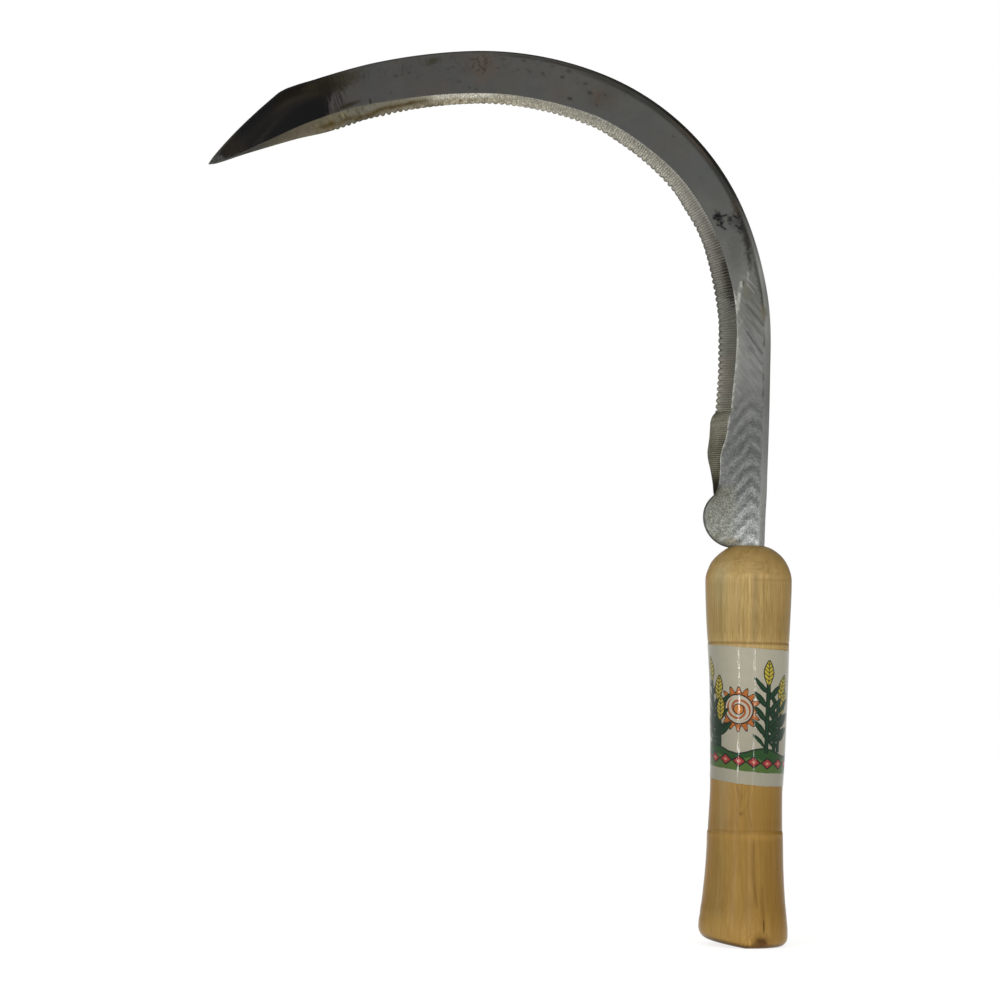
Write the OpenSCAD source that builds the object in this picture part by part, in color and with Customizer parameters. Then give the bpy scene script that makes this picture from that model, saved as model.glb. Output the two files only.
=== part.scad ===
// Hand sickle: a toothed hook blade of one piece of steel, its tang set in a
// turned wooden handle that carries a wrapped paper label.
// Millimetres. +Z runs up the handle's axis, the hook lies in the XZ plane with
// its point towards -X, and the origin is the middle of the handle's butt.

/* [Handle] */

// Length of the turned handle from the butt to the top of the dome
handle_len = 149.5; // [120:0.5:200]
// Added to the handle's radius all along
handle_grow = 0; // [-2:0.1:4]
// Radius of the domed shoulder at the top of the handle
dome_r = 13; // [8:0.5:15]
// Rounding of the edge round the butt
butt_round = 4.5; // [2:0.5:7]
// Depth of the burnt groove above the label
groove_depth = 0.4; // [0.2:0.1:1]
// Height of the burnt groove above the butt
groove_z = 113; // [100:0.5:125]
// Height of the small turned step below the label
step_z = 43; // [35:0.5:55]

/* [Blade] */

// Thickness of the steel at the heel
heel_thick = 4; // [3:0.1:5]
// Thickness of the steel along the hook
hook_thick = 2.2; // [1.6:0.1:3]
// Thickness left at the ground edge
edge_thick = 0.3; // [0.2:0.05:0.8]
// Distance from one tooth to the next
tooth_pitch = 2.25; // [1.6:0.05:4]
// Depth of the gaps between the teeth
tooth_depth = 0.5; // [0.2:0.05:1]
// Distance along the cutting edge from the point to the first tooth
tooth_start = 50; // [30:1:80]
// Radius of the rounded heel beside the handle
heel_r = 11.6; // [9:0.1:13]

/* [Tang] */

// Length of the tang below the bottom of the slot
tang_len = 74; // [50:1:90]
// Width of the tang at its top
tang_top = 7; // [5:0.5:8]
// Width of the tang at its lower end
tang_end = 4; // [3:0.5:6]
// Depth of the sawn slot in the top of the handle
slot_depth = 9; // [6:0.5:14]
// Gap between the shank and the sides of its slot
slot_gap = 0.15; // [0.05:0.05:0.5]
// Diameter of the hole drilled for the tang
tang_hole_d = 9; // [8:0.5:11]

/* [Label] */

// Thickness of the label
label_thick = 0.15; // [0.1:0.05:0.4]
// Height of the label's lower edge above the butt, at the front
label_low = 60.5; // [50:0.5:80]
// Height of the label's upper edge above the butt, at the front
label_high = 111.2; // [90:0.5:113]
// How far the wrap sits askew, in degrees
label_skew = 4.2; // [0:0.2:6]
// Width of the overlap at the back of the label
label_overlap = 5; // [3:0.5:10]

/* [Hidden] */

$fn = 96;

top = handle_len;

// The back of the hook and its cutting edge are chains of tangent arcs that
// both start at the point: [length, radius], and radius 0 is straight.
back_start = [-205.9, 140, 54.2];
back_nose = [38.2, 144];
back_turn = 15.9;
back_arcs = [[72.3, 213], [52.3, 124], [77, 96.5], [49.1, 122], [40, 1200], [36, 0]];
edge_start = [-206, 140, 17.5];
edge_arcs = [[59, 0], [63, 154], [113, 83], [42, 187]];
edge_len = 275;

// Distance along the back that belongs to a distance along the edge.
match = [[0, 0], [14, 12], [38, 41], [60, 65.5], [97, 106], [139, 156],
         [178, 203], [210, 244], [248, 289], [263, 304], [275, 316]];

// Width of the ground bevel along the edge.
bevel = [[0, 0.25], [12, 0.8], [20, 1.5], [28, 2.9], [37, 3.8], [50, 5.2],
         [65, 4.8], [86, 4], [140, 3.8], [160, 4.4], [182, 4.9], [200, 5.8],
         [235, 6.8], [250, 6.6], [262, 6], [277, 5.8]];

// Width of the chamfer along the back.
chamfer = [[0, 0.2], [95, 0.3], [160, 1.1], [240, 1.9], [282, 3], [320, 2.5],
           [360, 2.2]];

// Thickness of the steel along the back.
thick = [[0, hook_thick * 0.6], [40, hook_thick], [170, hook_thick],
         [240, hook_thick + (heel_thick - hook_thick) * 0.45],
         [290, hook_thick + (heel_thick - hook_thick) * 0.85],
         [330, heel_thick], [380, heel_thick]];

// The unground stretch above the heel, down its left side: [left, height].
neck = [[-14, 49.6], [-14.9, 48.3], [-15.5, 46.8], [-15.9, 41], [-16.5, 35],
        [-16.2, 31.8], [-15.4, 28.8], [-14.3, 22.8], [-13.9, 20.2]];
heel_mid = [-6.2, 10.5];
shank_left = -7.4;
shank_right = 5.6;

// Radius of the handle at heights above the butt.
waist = [[0, 16.5], [7, 16.5], [9.5, 16.4], [13, 15.95], [17, 15.5], [24.5, 14.9],
         [32, 14.35], [39, 14.05], [46.5, 13.65], [54, 13.45], [58, 13.35], [62, 13.5],
         [76.5, 13.95], [91.5, 14.4], [110, 14.95], [114, 15.2], [121.5, 15.65],
         [129, 15.9], [133, 16.05], [160, 16.05]];

function hand_r(z) = handle_grow + (lookup(z - 3, waist) + 2 * lookup(z, waist)
    + lookup(z + 3, waist)) / 4 + (z < step_z ? 0.18 : 0);

function along(st, s, r) = r == 0
    ? [st[0] + s * cos(st[2]), st[1] + s * sin(st[2]), st[2]]
    : let (h = st[2] - s / r * 180 / PI)
      [st[0] + r * (sin(st[2]) - sin(h)), st[1] + r * (cos(h) - cos(st[2])), h];
function on_chain(st, arcs, s, i = 0) = (i == len(arcs) - 1 || s <= arcs[i][0])
    ? along(st, s, arcs[i][1])
    : on_chain(along(st, arcs[i][0], arcs[i][1]), arcs, s - arcs[i][0], i + 1);

corner = along(back_start, back_nose[0], back_nose[1]);
back_from = [corner[0], corner[1], corner[2] - back_turn];
function back_at(s) = s < back_nose[0] ? along(back_start, s, back_nose[1])
    : on_chain(back_from, back_arcs, s - back_nose[0]);
function edge_at(s) = on_chain(edge_start, edge_arcs, s);

// Where the straight part of the back is at a height above the dome.
low_a = back_at(300);
low_b = back_at(350);
function back_x(v) = low_a[0] + (low_b[0] - low_a[0]) * (v - low_a[1]) / (low_b[1] - low_a[1]);
function back_s(v) = 300 + 50 * (v - low_a[1]) / (low_b[1] - low_a[1]);

// One ring of the blade's section: back point, edge point, bevel and chamfer
// widths, thickness and edge thickness. The face towards +Y is flat.
function ring(b, e, w, c, t, g) =
    let (d = norm(b - e), u = (b - e) / d, m = min(w, d * 0.4), k = min(c, d * 0.25),
         y = heel_thick / 2)
    [[b[0], y, b[1]],
     [b[0], y - t + min(k * 0.5, t * 0.45), b[1]],
     [b[0] - u[0] * k, y - t, b[1] - u[1] * k],
     [e[0] + u[0] * m, y - t, e[1] + u[1] * m],
     [e[0], y - g, e[1]],
     [e[0], y, e[1]]];

function hook_ring(s, cut) =
    let (q = lookup(s, match), b = back_at(q), e = edge_at(s),
         bb = [b[0], b[1]], ee = [e[0], e[1]], u = (bb - ee) / norm(bb - ee))
    ring(bb, ee + u * cut, lookup(s, bevel) - cut, lookup(q, chamfer), lookup(q, thick),
         min(edge_thick, lookup(q, thick) * 0.5));

tooth_n = floor((edge_len - 1 - tooth_start) / tooth_pitch);

nose_rings = [for (s = [0.8, 3, 6, 10, 14, 20, 26, 31, 35.7, 40.5, 44, 47]) hook_ring(s, 0)];
tooth_rings = [for (i = [0 : tooth_n - 1], j = [0, 1])
    hook_ring(tooth_start + (i + j * 0.5) * tooth_pitch, j == 0 ? 0 : tooth_depth)];
neck_rings = [for (p = neck)
    ring([back_x(p[1]), p[1]], p,
         lookup(p[1], [[20, 0.5], [28, 3.2], [35, 5], [41, 6.2], [46.5, 5.8]]),
         lookup(back_s(p[1]), chamfer), lookup(back_s(p[1]), thick),
         lookup(p[1], [[20, heel_thick - 0.4], [27, heel_thick * 0.6], [42, edge_thick * 3], [46, edge_thick * 2]]))];
heel_rings = [for (a = [128 : 9 : 263])
    let (p = [heel_mid[0] + heel_r * cos(a), heel_mid[1] + heel_r * sin(a)])
    ring([back_x(p[1]), p[1]], p, 0.4, lookup(back_s(p[1]), chamfer), heel_thick,
         heel_thick - 0.3)];

function plain_ring(x0, x1, v, t) = ring([x1, v], [x0, v], 0.4, 0.4, t, t - 0.3);
shank_rings = [plain_ring(shank_left, shank_right, -1.6, heel_thick),
               plain_ring(shank_left, shank_right, -slot_depth, heel_thick)];
tang_rings = [plain_ring(-tang_top / 2, tang_top / 2, -slot_depth - 0.01, heel_thick),
              plain_ring(-tang_end / 2, tang_end / 2, -slot_depth - tang_len, heel_thick * 0.8)];

// A closed solid through a row of rings.
module skin(rings) {
    n = len(rings);
    m = len(rings[0]);
    pts = [for (r = rings, p = r) p];
    sides = [for (i = [0 : n - 2], j = [0 : m - 1])
        let (a = i * m + j, b = i * m + (j + 1) % m, c = a + m, d = b + m)
        each [[a, c, b], [b, c, d]]];
    ends = [each [for (j = [1 : m - 2]) [0, j, j + 1]],
            each [for (j = [1 : m - 2]) [(n - 1) * m, (n - 1) * m + j + 1, (n - 1) * m + j]]];
    polyhedron(points = pts, faces = concat(sides, ends), convexity = 10);
}

module tang_shape() {
    translate([0, 0, top]) skin(tang_rings);
}

module blade() {
    color("slategray")
        translate([0, 0, top])
            skin(concat(nose_rings, tooth_rings, neck_rings, heel_rings, shank_rings, tang_rings));
}

module handle() {
    zs = [for (z = [butt_round + 1.5 : 4 : groove_z - 2]) z];
    zt = [for (z = [groove_z + 1.6 : 4 : handle_len - dome_r - 1]) z];
    low = hand_r(0);
    prof = concat(
        [[0, 0], [low - butt_round, 0]],
        [for (a = [-75 : 15 : 0]) [low - butt_round + butt_round * cos(a), butt_round + butt_round * sin(a)]],
        [for (z = zs) if (abs(z - step_z) > 1) [hand_r(z), z]],
        [[hand_r(groove_z - 0.7), groove_z - 0.7], [hand_r(groove_z) - groove_depth, groove_z],
         [hand_r(groove_z + 0.7), groove_z + 0.7]],
        [for (z = zt) [hand_r(z), z]],
        [for (a = [0 : 10 : 80]) [hand_r(140) - dome_r + dome_r * cos(a), handle_len - dome_r + dome_r * sin(a)]],
        [[hand_r(140) - dome_r, handle_len], [0, handle_len]]);
    color("burlywood")
        difference() {
            rotate_extrude() polygon(prof);
            translate([shank_left - slot_gap, -heel_thick / 2 - slot_gap, top - slot_depth - slot_gap])
                cube([shank_right - shank_left + 2 * slot_gap, heel_thick + 2 * slot_gap, slot_depth + 5]);
            translate([0, 0, top - slot_depth - tang_len - 3])
                cylinder(d = tang_hole_d, h = tang_len + 3.5);
        }
}

module tang_resin() {
    color("darkkhaki")
        difference() {
            translate([0, 0, top - slot_depth - tang_len - 3])
                cylinder(d = tang_hole_d, h = tang_len + 3 - slot_gap);
            tang_shape();
        }
}

module wrap(inner, outer, turn) {
    zs = concat([for (z = [butt_round + 1.5 : 4 : groove_z - 2]) if (z > label_low - 8) z],
        [groove_z - 0.7]);
    rotate([0, 0, 90 - turn / 2])
        rotate_extrude(angle = turn)
            polygon(concat([for (z = zs) [hand_r(z) + inner, z]],
                [for (i = [len(zs) - 1 : -1 : 0]) [hand_r(zs[i]) + outer, zs[i]]]));
}

module label() {
    mid = (label_low + label_high) / 2;
    color("lightyellow")
        intersection() {
            union() {
                wrap(0.01, label_thick, 360);
                wrap(label_thick * 0.5, label_thick * 2, label_overlap / hand_r(mid) * 180 / PI);
            }
            translate([0, 0, mid]) rotate([0, label_skew, 0])
                cube([60, 60, label_high - label_low], center = true);
        }
}

blade();
handle();
tang_resin();
label();
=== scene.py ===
"""Hand sickle: toothed hook blade, turned wooden handle and a printed label wrap."""

import math

import bmesh
import bpy
import numpy as np
from mathutils import Matrix, Vector


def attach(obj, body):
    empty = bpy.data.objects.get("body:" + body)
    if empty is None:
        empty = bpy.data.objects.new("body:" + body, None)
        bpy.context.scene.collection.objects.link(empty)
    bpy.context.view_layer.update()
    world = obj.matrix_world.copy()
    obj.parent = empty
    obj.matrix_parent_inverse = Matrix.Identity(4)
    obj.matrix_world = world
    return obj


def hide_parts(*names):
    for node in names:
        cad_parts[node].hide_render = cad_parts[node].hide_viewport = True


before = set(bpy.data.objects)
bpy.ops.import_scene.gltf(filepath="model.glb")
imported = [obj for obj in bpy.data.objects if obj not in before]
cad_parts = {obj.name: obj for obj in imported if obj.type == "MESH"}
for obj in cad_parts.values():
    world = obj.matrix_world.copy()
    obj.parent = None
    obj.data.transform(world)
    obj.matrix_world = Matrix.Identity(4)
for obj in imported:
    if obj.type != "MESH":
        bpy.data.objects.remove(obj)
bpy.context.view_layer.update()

MM = 0.001
TOP = 149.5  # top of the handle's dome above the butt, mm
BACK_Y = 2.0  # the blade's flat back face, mm


# ------------------------------------------------------------------ helpers
def hash_noise(x, y, seed=0):
    """Smooth value noise in 0..1 on arrays, the same each run."""
    r = np.random.RandomState(1234 + seed)
    table = r.rand(257, 257)
    xi, yi = np.floor(x).astype(int), np.floor(y).astype(int)
    fx, fy = x - xi, y - yi
    fx, fy = fx * fx * (3 - 2 * fx), fy * fy * (3 - 2 * fy)

    def g(i, j):
        return table[np.mod(i, 257), np.mod(j, 257)]

    a = g(xi, yi) * (1 - fx) + g(xi + 1, yi) * fx
    b = g(xi, yi + 1) * (1 - fx) + g(xi + 1, yi + 1) * fx
    return a * (1 - fy) + b * fy


def fractal(x, y, seed=0, octaves=3):
    v, amp, tot = 0, 1.0, 0
    for o in range(octaves):
        v = v + amp * hash_noise(x * 2**o + 17 * o, y * 2**o + 31 * o, seed + o)
        tot += amp
        amp *= 0.5
    return v / tot


def step(x, a, b):
    t = np.clip((x - a) / (b - a), 0, 1)
    return t * t * (3 - 2 * t)


def table(x, rows):
    r = np.array(rows, float)
    return np.interp(x, r[:, 0], r[:, 1])


def smooth_table(x, rows, width):
    """A table read with its corners rounded over a width."""
    return sum(
        table(x + o * width, rows) * w
        for o, w in ((-1, 0.15), (-0.5, 0.2), (0, 0.3), (0.5, 0.2), (1, 0.15))
    )


def spline(points, step_mm=0.05):
    """A dense polyline through points (Catmull-Rom by chord length)."""
    p = np.array(points, float)
    p = np.vstack([2 * p[0] - p[1], p, 2 * p[-1] - p[-2]])
    out = []
    for i in range(1, len(p) - 2):
        p0, p1, p2, p3 = p[i - 1 : i + 3]
        d0, d1, d2 = (max(np.linalg.norm(b - a), 1e-6) ** 0.5 for a, b in ((p0, p1), (p1, p2), (p2, p3)))
        m1 = (p1 - p0) / d0 - (p2 - p0) / (d0 + d1) + (p2 - p1) / d1
        m2 = (p2 - p1) / d1 - (p3 - p1) / (d1 + d2) + (p3 - p2) / d2
        m1, m2 = m1 * d1, m2 * d1
        n = max(2, int(np.linalg.norm(p2 - p1) / step_mm))
        t = np.linspace(0, 1, n, endpoint=False)[:, None]
        out.append(
            (2 * t**3 - 3 * t**2 + 1) * p1
            + (t**3 - 2 * t**2 + t) * m1
            + (-2 * t**3 + 3 * t**2) * p2
            + (t**3 - t**2) * m2
        )
    out.append(p[-2][None])
    q = np.vstack(out)
    s = np.r_[0, np.cumsum(np.hypot(*np.diff(q, axis=0).T))]
    return q, s


def at(curve, s):
    q, cs = curve
    return np.c_[np.interp(s, cs, q[:, 0]), np.interp(s, cs, q[:, 1])]


def make_mesh(name, verts_mm, faces, uv=None, colours=None, smooth=True):
    """verts in mm; uv maps name to (n, 2) per vertex; colours map name to (n, 4) per vertex."""
    me = bpy.data.meshes.new(name)
    me.from_pydata((np.asarray(verts_mm, float) * MM).tolist(), [], faces)
    me.update()
    loops = np.empty(len(me.loops), dtype=np.int32)
    me.loops.foreach_get("vertex_index", loops)
    for k, v in (uv or {}).items():
        layer = me.uv_layers.new(name=k)
        layer.data.foreach_set("uv", np.asarray(v, np.float32)[loops].ravel())
    for k, v in (colours or {}).items():
        a = me.attributes.new(name=k, type="FLOAT_COLOR", domain="POINT")
        a.data.foreach_set("color", np.asarray(v, np.float32).ravel())
    if smooth:
        me.shade_smooth()
    ob = bpy.data.objects.new(name, me)
    bpy.context.scene.collection.objects.link(ob)
    return ob


def grid_faces(rows, cols, close_cols=False, flip=False):
    i = np.arange(rows - 1)[:, None]
    j = np.arange(cols if close_cols else cols - 1)[None]
    k = (j + 1) % cols
    a, b, c, d = i * cols + j, i * cols + k, (i + 1) * cols + k, (i + 1) * cols + j
    f = np.stack([a, d, c, b] if flip else [a, b, c, d], -1).reshape(-1, 4)
    return f.tolist()


class Nodes:
    """A small layer over a material's nodes."""

    def __init__(self, name):
        self.mat = bpy.data.materials.new(name)
        self.mat.use_nodes = True
        self.nt = self.mat.node_tree
        self.nt.nodes.clear()
        self.out = self.nt.nodes.new("ShaderNodeOutputMaterial")
        self.bsdf = self.nt.nodes.new("ShaderNodeBsdfPrincipled")
        self.link(self.bsdf.outputs[0], self.out.inputs["Surface"])

    def link(self, a, b):
        self.nt.links.new(a, b)

    def put(self, socket, v):
        if isinstance(v, bpy.types.NodeSocket):
            self.link(v, socket)
        elif hasattr(socket.default_value, "__len__"):
            n = len(socket.default_value)
            if not hasattr(v, "__len__"):
                v = [v] * 3
            v = list(v) + [1.0] * (n - len(v))
            socket.default_value = v[:n]
        else:
            socket.default_value = v

    def new(self, kind, **props):
        n = self.nt.nodes.new(kind)
        for k, v in props.items():
            setattr(n, k, v)
        return n

    def math(self, op, a, b=0.0, c=0.0, clamp=False):
        n = self.new("ShaderNodeMath", operation=op, use_clamp=clamp)
        for s, v in zip(n.inputs, (a, b, c)):
            self.put(s, v)
        return n.outputs[0]

    def add(self, a, b):
        return self.math("ADD", a, b)

    def sub(self, a, b):
        return self.math("SUBTRACT", a, b)

    def mul(self, a, b):
        return self.math("MULTIPLY", a, b)

    def vmath(self, op, a, b=(0, 0, 0)):
        n = self.new("ShaderNodeVectorMath", operation=op)
        self.put(n.inputs[0], a)
        if op == "SCALE":
            self.put(n.inputs["Scale"], b)
        else:
            self.put(n.inputs[1], b)
        return n.outputs["Value"] if op in ("LENGTH", "DISTANCE", "DOT_PRODUCT") else n.outputs[0]

    def xyz(self, v):
        n = self.new("ShaderNodeSeparateXYZ")
        self.put(n.inputs[0], v)
        return n.outputs

    def combine(self, x, y, z=0.0):
        n = self.new("ShaderNodeCombineXYZ")
        for s, v in zip(n.inputs, (x, y, z)):
            self.put(s, v)
        return n.outputs[0]

    def object_mm(self):
        tc = self.new("ShaderNodeTexCoord")
        return self.vmath("SCALE", tc.outputs["Object"], 1000.0)

    def uv(self, name):
        return self.new("ShaderNodeUVMap", uv_map=name).outputs[0]

    def attr(self, name):
        return self.new("ShaderNodeAttribute", attribute_name=name, attribute_type="GEOMETRY").outputs

    def mapping(self, v, scale=(1, 1, 1), rot=(0, 0, 0), loc=(0, 0, 0)):
        n = self.new("ShaderNodeMapping")
        self.put(n.inputs["Vector"], v)
        n.inputs["Scale"].default_value = scale
        n.inputs["Rotation"].default_value = rot
        n.inputs["Location"].default_value = loc
        return n.outputs[0]

    def noise(self, v, scale, detail=2.0, rough=0.5, distort=0.0):
        n = self.new("ShaderNodeTexNoise")
        self.put(n.inputs["Vector"], v)
        n.inputs["Scale"].default_value = scale
        n.inputs["Detail"].default_value = detail
        n.inputs["Roughness"].default_value = rough
        n.inputs["Distortion"].default_value = distort
        return n.outputs["Fac"]

    def voronoi(self, v, scale, feature="F1"):
        n = self.new("ShaderNodeTexVoronoi", feature=feature)
        self.put(n.inputs["Vector"], v)
        n.inputs["Scale"].default_value = scale
        return n.outputs["Distance"]

    def between(self, v, a, b, lo=0.0, hi=1.0, smooth=True):
        n = self.new("ShaderNodeMapRange", interpolation_type="SMOOTHSTEP" if smooth else "LINEAR", clamp=True)
        for k, x in (("Value", v), ("From Min", a), ("From Max", b), ("To Min", lo), ("To Max", hi)):
            self.put(n.inputs[k], x)
        return n.outputs["Result"]

    def mix(self, fac, a, b, mode="MIX"):
        n = self.new("ShaderNodeMix", data_type="RGBA", blend_type=mode, clamp_factor=True)
        self.put(n.inputs[0], fac)
        self.put(n.inputs[6], a)
        self.put(n.inputs[7], b)
        return n.outputs[2]

    def bump(self, height, strength=1.0, distance=0.0001, normal=None):
        n = self.new("ShaderNodeBump")
        self.put(n.inputs["Height"], height)
        n.inputs["Strength"].default_value = strength
        n.inputs["Distance"].default_value = distance
        if normal is not None:
            self.link(normal, n.inputs["Normal"])
        return n.outputs[0]

    def set(self, **kw):
        for k, v in kw.items():
            self.put(self.bsdf.inputs[k.replace("_", " ")], v)


# ------------------------------------------------------------------- camera
EYE = Vector((-93.9, -1312.5, 123.0)) * MM
PITCH, ROLL = math.radians(1.827), math.radians(1.0)
forward = Vector((0, math.cos(PITCH), math.sin(PITCH)))
up0 = Vector((0, -math.sin(PITCH), math.cos(PITCH)))
right = Vector((1, 0, 0)) * math.cos(ROLL) + up0 * math.sin(ROLL)
up = up0 * math.cos(ROLL) - Vector((1, 0, 0)) * math.sin(ROLL)
cam_data = bpy.data.cameras.new("camera")
cam_data.sensor_width = 36.0
cam_data.lens = 126.0
cam_data.clip_end = 100.0
cam = bpy.data.objects.new("camera", cam_data)
bpy.context.scene.collection.objects.link(cam)
rot = Matrix((right, up, -forward)).transposed().to_4x4()
cam.matrix_world = Matrix.Translation(EYE) @ rot
bpy.context.scene.camera = cam


def spot(px, py):
    """A spot seen on the blade, as x and z in mm."""
    dx, dy = px - 749.7, 545.4 - py
    return (
        (dx * 0.99985 - dy * 0.01745) * 0.375,
        (dx * 0.01745 + dy * 0.99985) * 0.375 * 1.0022 + TOP,
    )


# -------------------------------------------------------------------- blade
def arc_chain(start, arcs):
    x, z, h = start[0], start[1], math.radians(start[2])
    pts = [(x, z)]
    for length, radius in arcs:
        n = max(4, int(length / 0.1))
        ds = length / n
        for _ in range(n):
            k = -ds / radius if radius else 0.0
            x += ds * math.cos(h + k / 2)
            z += ds * math.sin(h + k / 2)
            h += k
            pts.append((x, z))
    q = np.array(pts)
    return q, np.r_[0, np.cumsum(np.hypot(*np.diff(q, axis=0).T))]


nose_q = arc_chain((-205.9, 289.5, 54.2), [(38.2, 144)])[0]
arcs_q = arc_chain(
    (nose_q[-1][0], nose_q[-1][1], 23.1), [(72.3, 213), (52.3, 124), (77, 96.5), (49.1, 122), (40, 1200), (50, 0)]
)[0]
back_q = np.vstack([nose_q[:-5], arcs_q[5:]])
back_len = np.r_[0, np.cumsum(np.hypot(*np.diff(back_q, axis=0).T))]
# the hammered nose stands a little in and out of its arcs
dents = smooth_table(back_q[:, 0], [(-205.9, 0.0), (-204.6, 0.33), (-202, 0.2), (-199.5, 0.1), (-197, 0.0), (-192.5, -0.15), (-189, -0.21), (-184, -0.21), (-181.5, -0.12), (-179, -0.06), (-177.4, 0.24), (-175, 0.18), (-172.5, 0.12), (-170.5, 0.0), (-167, -0.2), (-161, -0.21), (-152, -0.1), (-146, 0.0), (0, 0.0)], 1.2)
fuller = smooth_table(back_len, [(0, 0.0), (262, 0.0), (275, 0.24), (293, 0.27), (302, 0.15), (340, 0.13), (347, 0.2), (351, 0.12), (354.5, 0.0), (420, 0.0)], 3.0)
dents = np.where(back_len < 120, dents, fuller)
run_ = np.gradient(back_q, axis=0)
run_ /= np.hypot(run_[:, 0], run_[:, 1])[:, None]
back_q = back_q + dents[:, None] * np.stack([-run_[:, 1], run_[:, 0]], -1)
BACK = (back_q, back_len)
EDGE = spline(
    [
        (-206.0, 289.5), (-203.3, 289.9), (-200.1, 290.9), (-194.1, 293.1), (-182.1, 297.0), (-171.4, 300.2), (-163.9, 302.1), (-158.1, 303.9),
        (-146.2, 308.0), (-134.1, 311.0), (-122.1, 313.2), (-110.1, 314.4), (-98.0, 314.5), (-85.9, 313.2),
        (-73.8, 310.7), (-61.7, 306.5), (-49.5, 299.6), (-37.3, 289.6), (-31.2, 283.0), (-25.9, 275.4),
        (-22.0, 268.7), (-19.2, 262.7), (-17.1, 256.7), (-15.5, 250.6), (-14.2, 244.6), (-13.4, 238.6),
        (-12.9, 232.6), (-12.7, 220.5), (-12.9, 208.5), (-13.3, 199.6),
    ]
)
EDGE_LEN = EDGE[1][-1]
MATCH = [(0, 0), (3, 2.6), (14, 12.5), (38, 41), (60, 65.5), (97, 106), (139, 156), (178, 203), (210, 244), (248, 289), (263, 304), (EDGE_LEN, 316)]
BEVEL_W = [
    (0, 0.15), (12, 0.4), (17, 1.2), (27, 2.5), (36, 3.9), (43, 5.1), (50, 5.6), (60, 5.2), (70, 4.25), (84, 3.72), (96, 3.42),
    (106, 3.36), (117, 3.5), (130, 3.42), (140, 3.52), (150, 3.95), (160, 4.12), (170, 4.4), (180, 4.9), (190, 5.25), (200, 5.6),
    (210, 5.7), (222, 6.2), (230, 6.5), (238, 6.75), (250, 6.7), (255, 6.4), (262, 6.0), (268, 5.55), (272, 5.35), (276, 5.6),
]
CHAMFER_W = [(0, 0.25), (95, 0.35), (160, 1.0), (240, 1.6), (262, 2.0), (282, 2.4), (305, 2.6), (320, 2.6), (380, 2.3)]
THICK = [(0, 1.1), (12, 1.7), (40, 2.2), (170, 2.2), (240, 3.0), (290, 3.7), (330, 4.0), (400, 4.0)]
TOOTH = 2.25
TOOTH_AMP = [
    (48.5, 0), (50, 0.7), (57, 0.8), (59, 0.25), (61.5, 0.2), (64, 0.5), (68, 1.0), (76, 1.0), (79, 0.35), (84, 0.3),
    (95, 0.15), (103, 0.25), (108, 0.5), (112, 0.8), (117, 0.6), (121, 0.35), (126, 0.4), (130, 0.6), (136, 0.85),
    (142, 0.75), (148, 0.8), (153, 0.6), (158, 0.45), (166, 0.5), (172, 0.65), (178, 0.5), (184, 0.8), (187, 0.9),
    (190, 0.25), (198, 0.4), (204, 0.6), (208, 0.4), (213, 0.35), (218, 0.45), (224, 0.7), (230, 0.75), (236, 0.5),
    (240, 0.3), (245, 0.5), (250, 0.9), (256, 0.9), (262, 0.8), (266, 0.7), (270, 0.8), (275, 1.1), (276.5, 0),
]
# how far the filed edge stands out from its smooth line
EDGE_OUT = [
    (0, 0.05), (20, 0.12), (38, 0.1), (44, 0.25), (50, 0.3), (58, 0.2), (66, 0.3), (74, 0.15), (82, 0.3), (88, 0.4),
    (98, 0.36), (106, 0.22), (114, 0.08), (122, 0.16), (147, 0.18), (152, -0.1), (157, 0.24), (163, 0.36), (169, 0.1),
    (180, 0.0), (186, -0.18), (191, -0.1), (196, 0.13), (201, 0.0), (205, -0.1), (211, 0.0), (217, 0.2), (225, 0.26),
    (229, 0.24), (233, 0.1), (237, 0.0), (241, -0.2), (245, -0.12), (252, -0.12), (256, -0.22), (264, -0.14), (272, 0.02), (278, 0.05),
]

# rings along the hook
sa = np.r_[np.array([0.12, 0.3, 0.5, 0.8]), np.arange(1.1, EDGE_LEN, 0.165)]
back_pt = at(BACK, table(sa, MATCH))
edge_pt = at(EDGE, sa)
s_back = table(sa, MATCH)
jitter = 0.35 * (fractal(sa / 9.0, sa * 0 + 3.3, 5) - 0.5)
phase = sa / TOOTH + jitter
bumps = np.abs(np.sin(np.pi * phase))
amp = table(sa, TOOTH_AMP) * (0.55 + 0.8 * hash_noise(np.floor(phase), sa * 0 + 0.5, 9))
inward = back_pt - edge_pt
inward /= np.maximum(np.linalg.norm(inward, axis=1), 1e-9)[:, None]
out = smooth_table(sa, EDGE_OUT, 2.0) + 0.06 * (fractal(sa / 2.2, sa * 0 + 8.1, 15) - 0.5)
cut = amp * (1 - bumps**0.75) - 0.33 * amp - out
edge_pt = edge_pt + inward * cut[:, None]
bw = smooth_table(sa, BEVEL_W, 4.0) - cut
hook = dict(
    o=back_pt, i=edge_pt, w=bw, c=table(s_back, CHAMFER_W), th=smooth_table(s_back, THICK, 8.0),
    e=np.minimum(0.3, 0.4 * smooth_table(s_back, THICK, 8.0)), s=sa, sb=s_back,
    groove=step(sa, 44, 52), gphase=phase, kind=np.zeros(len(sa)), cut=cut,
)

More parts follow.
